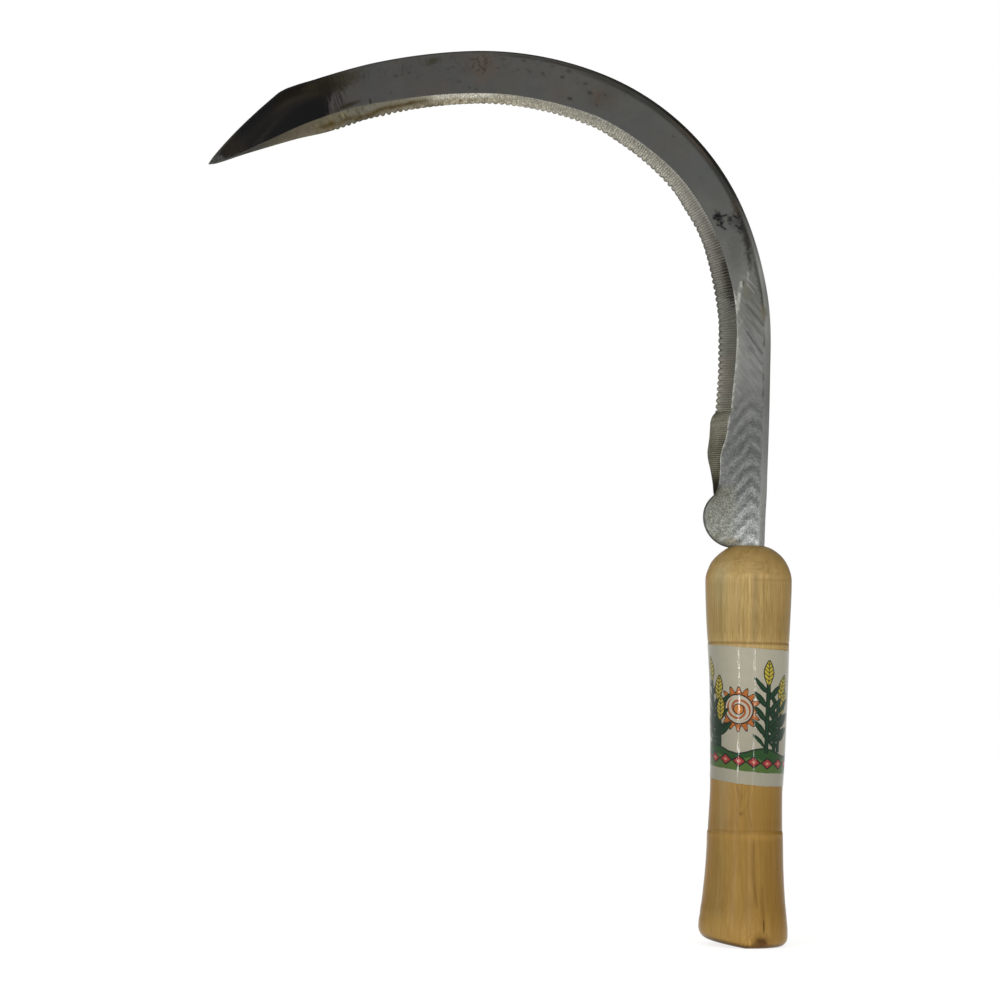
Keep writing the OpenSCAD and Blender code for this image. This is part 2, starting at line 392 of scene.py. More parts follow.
# rings across the neck, the heel and the shank, each level
NECK = spline(
    [(-13.35, 199.4), (-13.7, 199.0), (-14.8, 197.7), (-15.5, 196.0), (-15.7, 193.0), (-15.9, 189.5), (-16.3, 186.4),
     (-16.5, 184.0), (-16.2, 181.2), (-15.5, 178.4), (-14.9, 175.4), (-14.35, 172.2), (-14.15, 169.9), (-14.0, 168.6)], 0.1
)
sn = np.arange(0.25, NECK[1][-1], 0.28)
neck_pt = at(NECK, sn) + np.array([[0.24, 0.0]]) * step(sn, 0.3, 4.0)[:, None]
ang = np.radians(np.arange(133.0, 262.5, 1.3))
heel_r = 11.55 - 0.5 * np.clip((np.radians(168) - ang) / np.radians(40), 0, 1) ** 1.2
heel_pt = np.c_[-6.05 + heel_r * np.cos(ang), 160.0 + (heel_r + 0.05) * np.sin(ang)]
shank_z = np.array([148.2, 147.0, 144.0, 141.5, 140.6])
shank_pt = np.c_[np.full(5, -7.4), shank_z]
low_pt = np.vstack([neck_pt, heel_pt, shank_pt])
kind = np.r_[np.ones(len(neck_pt)), np.full(len(heel_pt), 2.0), np.full(len(shank_pt), 3.0)]
bq, bs = BACK
late = bs > 300
z_of = bq[late][:, 1][::-1]
low_back = np.c_[np.interp(low_pt[:, 1], z_of, bq[late][:, 0][::-1]), low_pt[:, 1]]
low_sb = np.interp(low_pt[:, 1], z_of, bs[late][::-1])
z = low_pt[:, 1]
low_w = table(z, [(168.9, 0.5), (169.3, 0.8), (172.3, 2.1), (178.7, 3.7), (185.1, 5.2), (191.9, 6.3), (197.0, 6.4), (198.6, 5.7), (200.0, 5.6)])
low_w = np.where(kind >= 2, 0.55, low_w)
low_e = table(z, [(169, 3.2), (173, 2.2), (180, 1.5), (190, 1.1), (197, 0.8), (199.5, 0.4)])
low_e = np.where(kind >= 2, 3.45, low_e)
low = dict(
    o=low_back, i=low_pt, w=low_w, c=table(low_sb, CHAMFER_W), th=table(low_sb, THICK), e=low_e,
    s=EDGE_LEN + (199.6 - z), sb=low_sb, groove=np.where(kind == 1, 0.7, 0.0) * step(z, 172, 180),
    gphase=(EDGE_LEN + (199.6 - z)) / TOOTH, kind=kind, cut=np.zeros(len(z)),
)
ring = {k: np.concatenate([hook[k], low[k]]) for k in hook}
n_ring = len(ring["s"])
span = np.linalg.norm(ring["i"] - ring["o"], axis=1)
unit = (ring["i"] - ring["o"]) / np.maximum(span, 1e-9)[:, None]
W = np.minimum(ring["w"], span * 0.42)
C = np.minimum(ring["c"], span * 0.22)
YF = BACK_Y - ring["th"]
YE = BACK_Y - np.minimum(ring["e"], ring["th"] * 0.9)

cols = []  # (distance from the back edge, y, zone)
for q in (0.0, 0.15, 0.35, 0.55, 0.75, 0.92):
    cols.append((C * q, YF + np.minimum(0.38 * C + 0.06, ring["th"] * 0.4) * (1 - q) ** 1.4, 0))
for q in np.linspace(0.0, 1.0, 34):
    cols.append((C + (span - W - C) * q, YF, 1))
lift = 0.07 * ring["groove"]
for q in (0.012, 0.05, 0.1, 0.17, 0.25, 0.34, 0.43, 0.52, 0.61, 0.7, 0.78, 0.86, 0.92, 0.965, 1.0):
    q_even = np.clip(1 - ((1 - q) * W + ring["cut"]) / np.maximum(W + ring["cut"], 1e-6), 0, 1)
    hollow = 1 - (1 - q_even) ** np.where(ring["kind"] == 0, 1.45, 1.2)
    y = YF + (YE - YF) * hollow
    fine = 0.5 + 0.5 * np.cos(2 * np.pi * ring["s"] / 0.92)
    coarse = (1 - np.abs(np.sin(np.pi * ring["gphase"]))) ** 1.3
    depth = ring["groove"] * (min(1.0, q * 9) * 0.03 * fine + 0.2 * coarse * max(0.0, (q - 0.76) / 0.24))
    y = y + np.minimum(depth, (BACK_Y - y) * 0.55)
    cols.append((span - W + W * q, y, 2))
cols.append((span, YE * 0.5 + BACK_Y * 0.5, 3))
cols.append((span, np.full(n_ring, BACK_Y - 0.04), 4))
cols.append((span - np.minimum(0.06, span * 0.05), np.full(n_ring, BACK_Y), 4))
for q in np.linspace(0.96, 0.06, 16):
    cols.append((span * q, np.full(n_ring, BACK_Y), 4))
cols.append((np.minimum(0.35, span * 0.04), np.full(n_ring, BACK_Y), 4))
cols.append((np.zeros(n_ring), np.full(n_ring, BACK_Y - 0.06) - 0.12 * np.minimum(1, ring["th"] / 3), 4))
cols.append((np.zeros(n_ring), (YF + BACK_Y) * 0.5, 5))
n_col = len(cols)
T = np.stack([np.broadcast_to(c[0], n_ring) for c in cols], 1)
Y = np.stack([np.broadcast_to(c[1], n_ring) for c in cols], 1)
ZONE = np.array([c[2] for c in cols])[None].repeat(n_ring, 0)
X = ring["o"][:, None, 0] + unit[:, None, 0] * T
Z = ring["o"][:, None, 1] + unit[:, None, 1] * T
S = ring["s"][:, None].repeat(n_col, 1)
SB = ring["sb"][:, None].repeat(n_col, 1)
KIND = ring["kind"][:, None].repeat(n_col, 1)
TE = span[:, None] - T  # distance from the cutting edge
TS = TE + ring["cut"][:, None]  # distance from the line that the teeth are cut along
QB = np.clip(1 - TE / np.maximum(W[:, None], 1e-6), 0, 1)  # 0 at the bevel's border, 1 at the edge


def rgb(*c):
    return np.array(c, float)


def lay(col, mask, c):
    m = np.clip(mask, 0, 1)[..., None]
    return col * (1 - m) + rgb(*c) * m


def ramp3(x, rows):
    return np.stack([np.interp(x, [r[0] for r in rows], [r[1][k] for r in rows]) for k in range(3)], -1)


def blob(px, py, rx, ry=None, tilt=0.0, soft=0.5):
    """A soft spot on the face, placed by what was seen, radii in pixels of 0.375 mm."""
    cx, cz = spot(px, py)
    rx, ry = rx * 0.375, (ry or rx) * 0.375
    c, s = math.cos(math.radians(tilt)), math.sin(math.radians(tilt))
    u, v = (X - cx) * c + (Z - cz) * s, -(X - cx) * s + (Z - cz) * c
    wob = 0.55 * (fractal(X * 1.1, Z * 1.1, 40) - 0.5)
    d = np.sqrt((u / rx) ** 2 + (v / ry) ** 2) + wob
    return 1 - step(d, 1 - soft, 1 + soft)


def daub(s0, te0, rs, rt, tilt=0.0, soft=0.5, rag=0.55):
    """A soft spot placed by its distance along the edge and in from it."""
    c, k = math.cos(math.radians(tilt)), math.sin(math.radians(tilt))
    u, v = (S - s0) * c + (TS - te0) * k, -(S - s0) * k + (TS - te0) * c
    d = np.sqrt((u / rs) ** 2 + (v / rt) ** 2) + rag * (fractal(X * 1.3, Z * 1.3, 40) - 0.5)
    return 1 - step(d, 1 - soft, 1 + soft)


# face colour, from the point to the handle; its run from dark near the point to light at the root is partly the steel's
# finish, partly painted reflection
face = ramp3(
    SB,
    [(0, (0.060, 0.059, 0.055)), (90, (0.0565, 0.0550, 0.0518)), (150, (0.0655, 0.0645, 0.0598)), (200, (0.068, 0.068, 0.0625)),
     (240, (0.076, 0.077, 0.0715)), (262, (0.103, 0.104, 0.096)), (278, (0.119, 0.120, 0.111)), (288, (0.150, 0.152, 0.143)),
     (296, (0.166, 0.168, 0.159)), (304, (0.154, 0.157, 0.149)), (312, (0.138, 0.141, 0.134)), (331, (0.134, 0.138, 0.132)),
     (342, (0.158, 0.162, 0.155)), (350, (0.184, 0.189, 0.181)), (358, (0.262, 0.276, 0.262)), (363, (0.335, 0.352, 0.336)), (366, (0.36, 0.378, 0.36))],
)
n1 = fractal(X * 0.35, Z * 0.35, 1)
n2 = fractal(X * 1.4, Z * 1.4, 7)
n3 = fractal(X * 0.12 + 5, Z * 0.12, 12)
face *= (0.93 + 0.14 * n1)[..., None]
warm_n = (fractal(X * 0.11 + 20, Z * 0.11, 67) - 0.5) * (1 - step(SB, 215, 250))
face = face * (1 + warm_n[..., None] * np.array([0.16, 0.0, -0.10]))
n4 = fractal(S * 0.22, T * 1.6, 14)
# grime along the back edge: a thin line first, then a broad soft band with a black line in it
thin = np.exp(-(((T - 1.4 - 0.5 * (n3 - 0.5)) / 0.42) ** 2)) * step(SB, 118, 134) * (1 - step(SB, 150, 170))
face = lay(face, thin * np.clip(0.35 + 1.1 * n4, 0, 1), (0.016, 0.0155, 0.014))
band = step(T, 0.25, 0.6) * (1 - step(T, 2.3, 3.6)) * step(SB, 146, 168) * (1 - step(SB, 232, 252))
face = lay(face, band * np.clip(0.55 + 0.5 * n4, 0, 1), (0.0235, 0.0235, 0.0195))
warmth = step(T, 0.3, 0.7) * (1 - step(T, 1.8, 2.9)) * step(SB, 190, 200) * (1 - step(SB, 212, 224))
face = lay(face, warmth * 0.45, (0.060, 0.043, 0.034))
black = np.exp(-(((T - 0.85 - 0.35 * (n3 - 0.5)) / 0.24) ** 2)) * step(SB, 176, 196) * (1 - step(SB, 262, 268))
face = lay(face, black * np.clip(0.25 + 1.0 * n4, 0, 1), (0.010, 0.0095, 0.0085))
# dark, mirror-like stretch behind the point; its near-black colour is painted dark reflection on smooth steel
hatch = fractal(X * 1.7 + Z * 0.62, Z * 0.26 - X * 0.05, 23)
xt = X + 4.5 * (hatch - 0.5)
dark = 1 - step(xt, -161.6, -160.4)
strokes_ = np.clip(4.5 * (hatch - 0.47), 0, 1) * (1 - step(X, -158.0, -153.0))
dark = np.maximum(dark, strokes_ * 0.85)
hatch2 = fractal(X * 2.3 + Z * 0.7 + 8, Z * 0.3 - X * 0.05, 29)
face = lay(face, dark * 0.97, (0.0095, 0.0098, 0.0104))
bits = np.clip(4.0 * (hatch2 - 0.5), 0, 1) * step(X, -163.5, -161.0) * (1 - step(X, -158.0, -155.0))
face = lay(face, bits * 0.85, (0.034, 0.0255, 0.0185))
glints = np.clip(5.0 * (hatch - 0.6), 0, 1) * step(X, -162.5, -161.0) * (1 - step(X, -158.5, -156.0)) * step(TE, 5.6, 7.0)
face = lay(face, glints * 0.35, (0.115, 0.112, 0.105))
upper = np.exp(-(((T - 5.0) / 1.9) ** 2)) * (1 - step(X, -164, -158))
face = lay(face, upper * dark * (0.25 + 0.6 * step(X, -186, -176)), (0.0265, 0.0230, 0.0172))
scorch = step(T, 0.5, 1.2) * (1 - step(T, 3.2, 4.6)) * step(X, -184, -178) * (1 - step(X, -164, -156))
face = lay(face, scorch * 0.7, (0.0135, 0.0105, 0.0070))
streak = np.exp(-(((T - 7.6 + 0.12 * (X + 175)) / 1.2) ** 2)) * (1 - step(X, -186, -164))
face = lay(face, streak * dark * 0.6, (0.024, 0.022, 0.0185))
face = lay(face, step(S, 4.0, 8) * (1 - step(S, 15, 19)) * 0.7, (0.0195, 0.0165, 0.0125))
face = lay(face, (1 - step(S, 5.8, 7.7)) * (1 - step(TS, 1.9, 3.0)) * 0.85, (0.060, 0.059, 0.054))
pale = np.maximum(1 - step(SB + 1.2 * np.clip(T - 1.2, 0, 3), 4.2, 8.0), np.exp(-((np.minimum(TE, T * 1.6) / 0.75) ** 2)) * (1 - step(S, 10, 22)))
face = lay(face, pale * 0.75, (0.043, 0.043, 0.040))
face = lay(face, np.exp(-((T / 0.42) ** 2)) * (0.75 * (1 - step(SB, 8, 16)) + 0.35 * (1 - step(X, -165, -150))), (0.066, 0.064, 0.057))
# brown bloom past the dark stretch, up against the back edge
bloom = np.maximum(daub(57, 16.4, 6.5, 3.0, 0, 0.6, 1.0) * 0.85, daub(52, 17.5, 8, 2.0, 0, 0.5) * 0.8)
face = lay(face, bloom, (0.032, 0.0285, 0.019))
face = lay(face, daub(51.6, 15.8, 4.2, 3.6, 0, 0.6, 1.2) * 0.85, (0.0165, 0.0140, 0.0108))
face = lay(face, daub(57.5, 14.4, 1.6, 1.5, 30, 0.6, 1.2) * 0.5, (0.026, 0.024, 0.018))
face = lay(face, daub(57, 6.7, 4.2, 0.75, 3, 0.5) * 0.85, (0.024, 0.019, 0.010))
face = lay(face, daub(65, 5.4, 0.5, 1.4, 0, 0.5) * 0.8, (0.024, 0.021, 0.014))
face = lay(face, daub(89.3, 16.5, 2.5, 1.2, 10, 0.6, 1.0) * 0.7, (0.027, 0.027, 0.015))
# rust bloom
stain = daub(106.5, 13.0, 4.3, 5.2, 0, 0.45, 1.1)
face = lay(face, stain * 0.5, (0.080, 0.060, 0.048))
face = lay(face, daub(105.4, 14.4, 2.9, 3.0, 0, 0.7, 1.4) * np.clip(3.0 * (fractal(X * 1.3, Z * 1.3, 44) - 0.40), 0, 1) * 0.9, (0.024, 0.018, 0.0125))
face = lay(face, daub(146.8, 10.4, 0.75, 2.6, 8, 0.6, 0.9) * 0.62, (0.075, 0.040, 0.031))
face = lay(face, daub(145.0, 11.9, 1.5, 1.3, 0, 0.6, 0.9) * 0.35, (0.095, 0.066, 0.060))
# dark specks: distance along the edge, in from it, radius, strength
for s0, t0, r0, k in [
    (111.3, 13.2, 0.45, 0.5), (118.1, 13.2, 0.5, 0.45), (122.0, 13.2, 0.55, 0.55), (126.3, 13.5, 0.55, 0.6), (133.0, 13.6, 0.6, 0.75),
    (137.7, 6.5, 0.75, 0.95), (83.3, 10.8, 0.5, 0.4), (98.0, 8.0, 0.7, 0.45), (75.8, 13.0, 0.6, 0.6), (78.2, 13.1, 0.4, 0.5),
    (80.7, 13.3, 0.5, 0.5), (94.6, 13.0, 0.5, 0.45), (96.2, 13.4, 0.4, 0.4), (143.5, 11.0, 0.85, 0.9), (141.0, 13.7, 0.6, 0.7),
    (148.3, 12.6, 0.5, 0.8), (147.4, 7.8, 0.6, 0.6), (175.0, 14.0, 0.5, 0.55), (204.8, 18.0, 0.5, 0.5), (113.0, 16.6, 0.6, 0.5),
    (119.5, 17.0, 0.6, 0.6), (129.0, 16.9, 0.5, 0.6), (134.5, 16.4, 0.8, 0.55), (160.0, 9.0, 0.35, 0.3), (190.5, 11.0, 0.35, 0.3),
    (215.0, 9.0, 0.4, 0.35), (73.0, 7.2, 0.4, 0.4), (101.5, 5.5, 0.5, 0.5), (104.0, 5.0, 0.5, 0.5),
]:
    face = lay(face, daub(s0, t0, r0 * 1.25, r0 * 0.82, 0, 0.6, 0.9) * k * 0.85, (0.020, 0.018, 0.0145))
face = lay(face, daub(205.4, 16.9, 3.2, 1.5, 0, 0.7, 1.4) * 0.8, (0.034, 0.0255, 0.0165))
# smudge and lines beside the blot
face = lay(face, daub(219, 15.4, 9.0, 2.0, -3, 0.8, 1.2) * 0.4, (0.030, 0.029, 0.026))
face = lay(face, daub(221, 9.5, 8.0, 3.0, -14, 0.8, 1.4) * 0.22, (0.047, 0.046, 0.043))
smudge = daub(213.5, 16.1, 7.5, 1.15, -8, 0.6, 1.3)
face = lay(face, smudge * 0.9, (0.0155, 0.0148, 0.0125))
face = lay(face, daub(211.5, 15.6, 1.2, 2.0, 20, 0.6, 1.2) * 0.6, (0.020, 0.019, 0.016))
face = lay(face, daub(228, 16.4, 8.0, 0.6, 1, 0.6, 1.3) * 0.6, (0.030, 0.030, 0.026))
face = lay(face, daub(222, 14.9, 3.0, 0.5, -14, 0.6, 1.0) * 0.55, (0.028, 0.027, 0.023))
# heel stains by the handle
face = lay(face, blob(732, 542, 8, 3.5) * 0.55, (0.18, 0.135, 0.065))
face = lay(face, blob(719, 536, 5, 4, 40) * 0.35, (0.17, 0.145, 0.09))
# short upright scratches along the back, past the dark stretch
mottle = np.clip(3.2 * (fractal(X * 0.95, Z * 0.95, 91) - 0.60), 0, 1) * step(S, 58, 64) * (1 - step(S, 150, 165)) * step(TS, 10.5, 12.5)
face = lay(face, mottle * 0.4, (0.026, 0.025, 0.020))
comb_a = np.clip(3.2 * (fractal(S * 1.5, TE * 0.16, 26) - 0.55), 0, 1) * np.exp(-(((TE - 15.6) / 1.5) ** 2)) * step(S, 60, 64) * (1 - step(S, 76, 86))
face = lay(face, comb_a * 0.8, (0.020, 0.020, 0.019))
# ground stretch: chevrons left by the wheel
xc = 0.2
hat = np.sqrt((X - xc) ** 2 + 1.6**2)
arc = Z + 1.3 * hat + 2.6 * (fractal(X * 0.3, Z * 0.26, 33) - 0.5)
inside_arm = step(X, -8.5, -3.0) * (1 - step(T, 3.4, 2.2))
wave = np.cos(2 * np.pi * (arc - 239.6) / 5.9) * step(SB, 304, 322) * (0.3 + 0.7 * inside_arm) * (0.5 + 1.0 * fractal(X * 0.3 + 2, Z * 0.2, 37))
wave2 = np.sin(2 * np.pi * arc / 1.15 + 2.5 * n1) * step(SB, 306, 326)
coarse_n = fractal(X * 0.8 + 4, Z * 0.8, 109) - 0.5
face *= (1 - 0.27 * wave + 0.07 * wave2 + 0.42 * coarse_n * step(SB, 306, 322))[..., None]
blots = np.clip(2.6 * (fractal(X * 0.42 + 3, Z * 0.5, 87) - 0.52), 0, 1) * step(SB, 306, 322) * inside_arm * (1 - step(-Z, -168, -160))
face = lay(face, blots * 0.55, (0.085, 0.089, 0.093))
blue = np.clip(wave, 0, 1) * 0.12
face = lay(face, blue, (0.12, 0.13, 0.145))
streaks = fractal((X * 0.82 + Z * 0.57) * 2.6, (-X * 0.57 + Z * 0.82) * 0.16, 31)
dg = step(SB, 262, 276) * (1 - step(SB, 306, 326))
face *= (1 + dg * 0.5 * (streaks - 0.5))[..., None]
# painted highlight along the ridge where the ground face meets the bevel, with a softer painted glow beside it
tb = span[:, None] - W[:, None] - T
n5 = fractal(S * 0.75, TE * 0.9, 93)
ridge_highlight = np.exp(-(((np.clip(tb, 0, None) - 0.9 * (n5 - 0.5)) / (0.28 + 0.7 * n2**2)) ** 2)) * step(S, 229, 236) * (1 - step(SB, 332, 352))
face = lay(face, ridge_highlight * np.clip(-0.45 + 2.3 * fractal(S * 0.95, T * 0.6, 47), 0.08, 1), (0.46, 0.455, 0.41))
ridge_highlight_halo = np.exp(-((tb / 2.4) ** 2)) * step(S, 232, 242) * (1 - step(S, 262, 276))
face = lay(face, ridge_highlight_halo * (0.2 + 0.45 * n2), (0.24, 0.24, 0.215))


def line_on(points, width, soft=0.5):
    """A drawn line through (along the edge, in from it) points."""
    m_ = np.zeros_like(S)
    for (a0, b0), (a1, b1) in zip(points[:-1], points[1:]):
        d0, d1 = a1 - a0, b1 - b0
        t_ = np.clip(((S - a0) * d0 + (TS - b0) * d1) / (d0 * d0 + d1 * d1), 0, 1)
        m_ = np.maximum(m_, 1 - step(np.hypot(S - a0 - t_ * d0, TS - b0 - t_ * d1), width * (1 - soft), width * (1 + soft)))
    return m_ * (KIND == 0)


rag_l = np.clip(-0.5 + 2.4 * fractal(S * 0.8, TS * 1.1, 101), 0, 1)
face = lay(face, line_on([(228.5, 10.1), (231.5, 8.7), (237.5, 7.5)], 0.5, 0.95) * rag_l * 0.8, (0.33, 0.33, 0.30))
face = lay(face, line_on([(230.0, 8.9), (235.0, 7.8)], 0.3, 0.95) * (1 - rag_l) * 0.4, (0.24, 0.24, 0.215))
face = lay(face, line_on([(228.3, 11.0), (229.6, 10.6)], 0.22, 0.7) * 0.8, (0.02, 0.02, 0.018))
for pts_, wd_, k_ in [
    ([(236.2, 10.6), (243.5, 16.6)], 0.42, 0.6), ([(245.7, 10.6), (253.2, 16.2)], 0.5, 0.62), ([(234.4, 12.4), (239.0, 15.8)], 0.3, 0.35),
    ([(240.5, 10.4), (246.0, 14.9)], 0.28, 0.3), ([(242.0, 12.4), (246.8, 16.2)], 0.3, 0.35), ([(251.0, 11.4), (257.5, 16.4)], 0.4, 0.4),
    ([(255.5, 11.6), (261.0, 16.0)], 0.35, 0.32), ([(231.0, 13.5), (234.8, 16.4)], 0.28, 0.35), ([(259.5, 12.0), (264.0, 15.6)], 0.35, 0.3),
    ([(228.1, 10.9), (229.0, 10.2)], 0.22, 0.8), ([(248.2, 10.2), (252.6, 13.6)], 0.22, 0.3),
]:
    face = lay(face, line_on(pts_, wd_, 0.6) * k_ * (0.6 + 0.6 * n2), (0.052, 0.053, 0.052))
for pts_ in [[(225.4, 12.9), (226.4, 13.4)], [(226.0, 13.5), (227.4, 12.7)], [(227.6, 12.4), (231.0, 15.0)], [(229.4, 12.0), (232.5, 14.2)], [(240.8, 7.9), (242.2, 8.9)], [(241.6, 8.9), (243.4, 7.6)]]:
    face = lay(face, line_on(pts_, 0.18, 0.7) * 0.5, (0.26, 0.26, 0.24))
face = lay(face, daub(231.6, 11.5, 2.6, 1.2, 0, 0.7, 1.0) * 0.45, (0.085, 0.082, 0.052))
face = lay(face, daub(218, 10.5, 6.0, 2.4, -12, 0.8, 0.9) * 0.22, (0.045, 0.045, 0.042))
face = lay(face, daub(232, 14.5, 5.0, 1.6, 0, 0.8, 0.9) * 0.25, (0.048, 0.048, 0.045))

face = lay(face, blob(602, 96, 17, 12, 20, 0.7) * 0.45, (0.050, 0.044, 0.036))
face = lay(face, blob(703, 204, 9, 16, 25, 0.8) * 0.35, (0.105, 0.104, 0.092))

# chamfer along the back
cham = ramp3(SB, [(0, (0.05, 0.048, 0.042)), (110, (0.072, 0.07, 0.064)), (180, (0.09, 0.088, 0.08)), (230, (0.115, 0.114, 0.104)), (250, (0.15, 0.15, 0.14)), (268, (0.195, 0.197, 0.188)), (285, (0.20, 0.202, 0.19)), (300, (0.190, 0.191, 0.177)), (318, (0.215, 0.216, 0.203)), (335, (0.255, 0.256, 0.242)), (352, (0.300, 0.302, 0.287)), (366, (0.37, 0.374, 0.362))])
cham = lay(cham, (1 - step(X, -168, -156)) * 0.8, (0.02, 0.018, 0.014))
cham *= (0.84 + 0.3 * fractal(S * 0.12, T * 3.2, 19))[..., None]
# chamfer brightness along the back, lighter toward its outer edge from 240 to 262: partly painted highlight
cham *= (np.interp(SB, [228, 240, 250, 263, 271, 279, 288, 302, 312, 322, 333, 341, 351, 358], [0.85, 1.0, 1.3, 1.75, 1.36, 1.66, 1.58, 1.34, 1.22, 1.42, 1.24, 1.28, 1.14, 1.0]) * (1 + 0.28 * step(SB, 240, 262) * (1 - np.clip(T / C[:, None], 0, 1) - 0.25)))[..., None]
cham = lay(cham, np.exp(-((T / 0.3) ** 2)) * step(SB, 60, 80) * (1 - step(SB, 225, 245)) * 0.75, (0.022, 0.021, 0.018))
cm = (1 - step(T, C[:, None] * 0.75, C[:, None] * 1.1)) * step(SB, 222, 246) * (1 - 0.3 * step(SB, 284, 294) * (1 - step(SB, 322, 338)))
face = face * (1 - cm[..., None]) + cham * cm[..., None]
edge_dark = np.exp(-((T / 0.35) ** 2)) * step(SB, 60, 80) * (1 - step(SB, 222, 246))
face = lay(face, edge_dark * 0.6, (0.022, 0.021, 0.018))
seam = np.exp(-(((T - C[:, None] - 0.1 - 0.25 * (n4 - 0.5)) / 0.34) ** 2)) * step(SB, 240, 250) * (1 - step(SB, 312, 330))
seam *= np.interp(SB, [238, 243, 250, 256, 262, 267, 271, 276], [1.0, 0.3, 0.35, 0.5, 0.6, 1.0, 1.2, 1.0])
late_ = step(SB, 276, 288)
face = lay(face, seam * ((1 - late_) * np.clip(0.35 + 0.9 * n4, 0, 1) + late_ * np.clip(3.0 * (fractal(S * 0.42, T * 0.3, 17) - 0.45), 0, 1) * 0.8), (0.024, 0.023, 0.018))
seam2 = np.exp(-(((T - 0.75 * C[:, None] - 0.3) / 0.2) ** 2)) * step(SB, 240, 250) * (1 - step(SB, 262, 280))
face = lay(face, seam2 * np.interp(SB, [236, 243, 250, 258], [0.35, 0.85, 0.8, 0.35]), (0.045, 0.045, 0.040))
yolk = daub(239.2, 17.0, 2.6, 1.1, 0, 0.5, 0.9)
face = lay(face, yolk * 0.6, (0.125, 0.112, 0.072))

# bevel colour along the edge; painted lighter than the face, partly for how the slanted bevel takes the light
bev = ramp3(
    S,
    [(0, (0.07, 0.068, 0.06)), (14, (0.085, 0.082, 0.07)), (24, (0.105, 0.101, 0.088)), (40, (0.115, 0.108, 0.088)),
     (52, (0.125, 0.118, 0.09)), (66, (0.15, 0.14, 0.105)), (84, (0.24, 0.215, 0.155)), (98, (0.33, 0.295, 0.215)), (112, (0.30, 0.28, 0.215)),
     (128, (0.295, 0.28, 0.225)), (150, (0.25, 0.24, 0.20)), (166, (0.235, 0.225, 0.188)), (184, (0.22, 0.21, 0.178)), (200, (0.175, 0.168, 0.145)),
     (212, (0.155, 0.148, 0.128)), (224, (0.135, 0.13, 0.112)), (234, (0.126, 0.124, 0.107)), (252, (0.122, 0.121, 0.103)), (268, (0.134, 0.131, 0.108)), (277, (0.13, 0.127, 0.098)),
     (288, (0.114, 0.111, 0.082)), (300, (0.118, 0.115, 0.082)), (306, (0.07, 0.068, 0.05))],
)
nb = fractal(S * 0.55, QB * 2.2, 51)
nb2 = fractal(S * 1.9, QB * 5.0, 55)
bev *= (0.80 + 0.28 * nb + 0.16 * nb2)[..., None]
gaps = (1 - np.abs(np.sin(np.pi * ring["gphase"])))[:, None] ** 2
rusty = step(S, 42, 52) * (1 - step(S, 104, 122))
low_b = 0.9 * step(S, 56, 60) * (1 - step(S, 64, 69))
brown = np.exp(-(((TS - 1.95 + low_b - 1.1 * (nb - 0.5)) / 0.8) ** 2)) * step(S, 40, 48) * (1 - step(S, 82, 90))
bev = lay(bev, brown * np.clip(0.25 + 1.1 * fractal(S * 0.35, TE * 0.8, 53), 0, 1), (0.060, 0.044, 0.015))
bev = lay(bev, daub(65, 3.7, 4.2, 0.9, 0, 0.8, 1.2) * 0.35, (0.19, 0.185, 0.155))
bev = lay(bev, daub(54, 4.1, 1.6, 0.7, 0, 0.8, 1.2) * 0.5, (0.24, 0.22, 0.12))
bev = lay(bev, rusty * step(QB, 0.35, 0.75) * np.clip(2.8 * (nb - 0.42), 0, 1) * 0.7, (0.050, 0.037, 0.014))
bev = lay(bev, rusty * np.clip(3.4 * (nb2 - 0.58), 0, 1) * 0.6, (0.10, 0.056, 0.018))
# painted highlight: a pale bright patch at the top of the bevel
bev = lay(bev, step(S, 84, 92) * (1 - step(S, 106, 118)) * (1 - step(QB, 0.2, 0.55)) * np.clip(0.35 + 1.0 * nb, 0, 1), (0.56, 0.54, 0.46))
# painted highlight: a thin light line along the bevel's top border
bev = lay(bev, np.exp(-(((QB - 0.05) / 0.08) ** 2)) * step(S, 72, 90) * (1 - step(S, 205, 215)) * 0.35, (0.42, 0.41, 0.37))
early = step(S, 38, 46) * (1 - step(S, 58, 70))
bev = lay(bev, early * np.clip(3.2 * (fractal(S * 1.3, QB * 3.4, 59) - 0.5), 0, 1) * 0.7, (0.045, 0.036, 0.016))
bev = lay(bev, np.exp(-(((QB - 1.0) / 0.12) ** 2)) * step(S, 48, 54) * 0.45, (0.06, 0.058, 0.05))
teeth_c = np.clip(0.5 + 0.75 * np.cos(2 * np.pi * S / 1.12 + 1.2 * (nb - 0.5)), 0, 1) * (0.55 + 0.6 * fractal(S * 0.9, TE * 0.02, 57))
drip = fractal(S * 0.5, TE * 0.02, 58)
# painted shade in the hollow at the bevel's root, darkest along the grooves
root_shade_mask = step(QB, -0.02, 0.04) * (1 - step(QB, 0.10 + 0.25 * drip, 0.36 + 0.45 * drip))
bevel_wall_shade = root_shade_mask * step(S, 200, 213) * (1 - step(S, 234, 240)) * (0.5 + 0.5 * step(S, 216, 224))
bev = lay(bev, bevel_wall_shade * (0.08 + 0.92 * teeth_c ** 1.5) * 0.95, (0.014, 0.0118, 0.008))
bev = lay(bev, root_shade_mask * step(S, 217, 222) * (1 - step(S, 231, 237)) * 0.55 * (1 - step(QB, 0.14, 0.45)), (0.024, 0.020, 0.014))
bev = lay(bev, gaps * step(QB, 0.80, 0.97) * step(S, 240, 246) * (1 - step(S, 264, 268)) * 0.95, (0.008, 0.008, 0.007))
rosy = (1 - step(np.abs(S - 262.5), 6.5, 8.5)) * step(QB, 0.1, 0.4) * (1 - step(QB, 0.9, 1.0))
bev = lay(bev, rosy * 0.4, (0.165, 0.135, 0.112))
bev = lay(bev, np.where(KIND == 1, step(QB, 0.45, 0.9) * 0.45, 0), (0.060, 0.057, 0.040))
bev = lay(bev, np.where(KIND == 1, (1 - step(Z, 172, 179)) * 0.80, 0), (0.024, 0.021, 0.013))
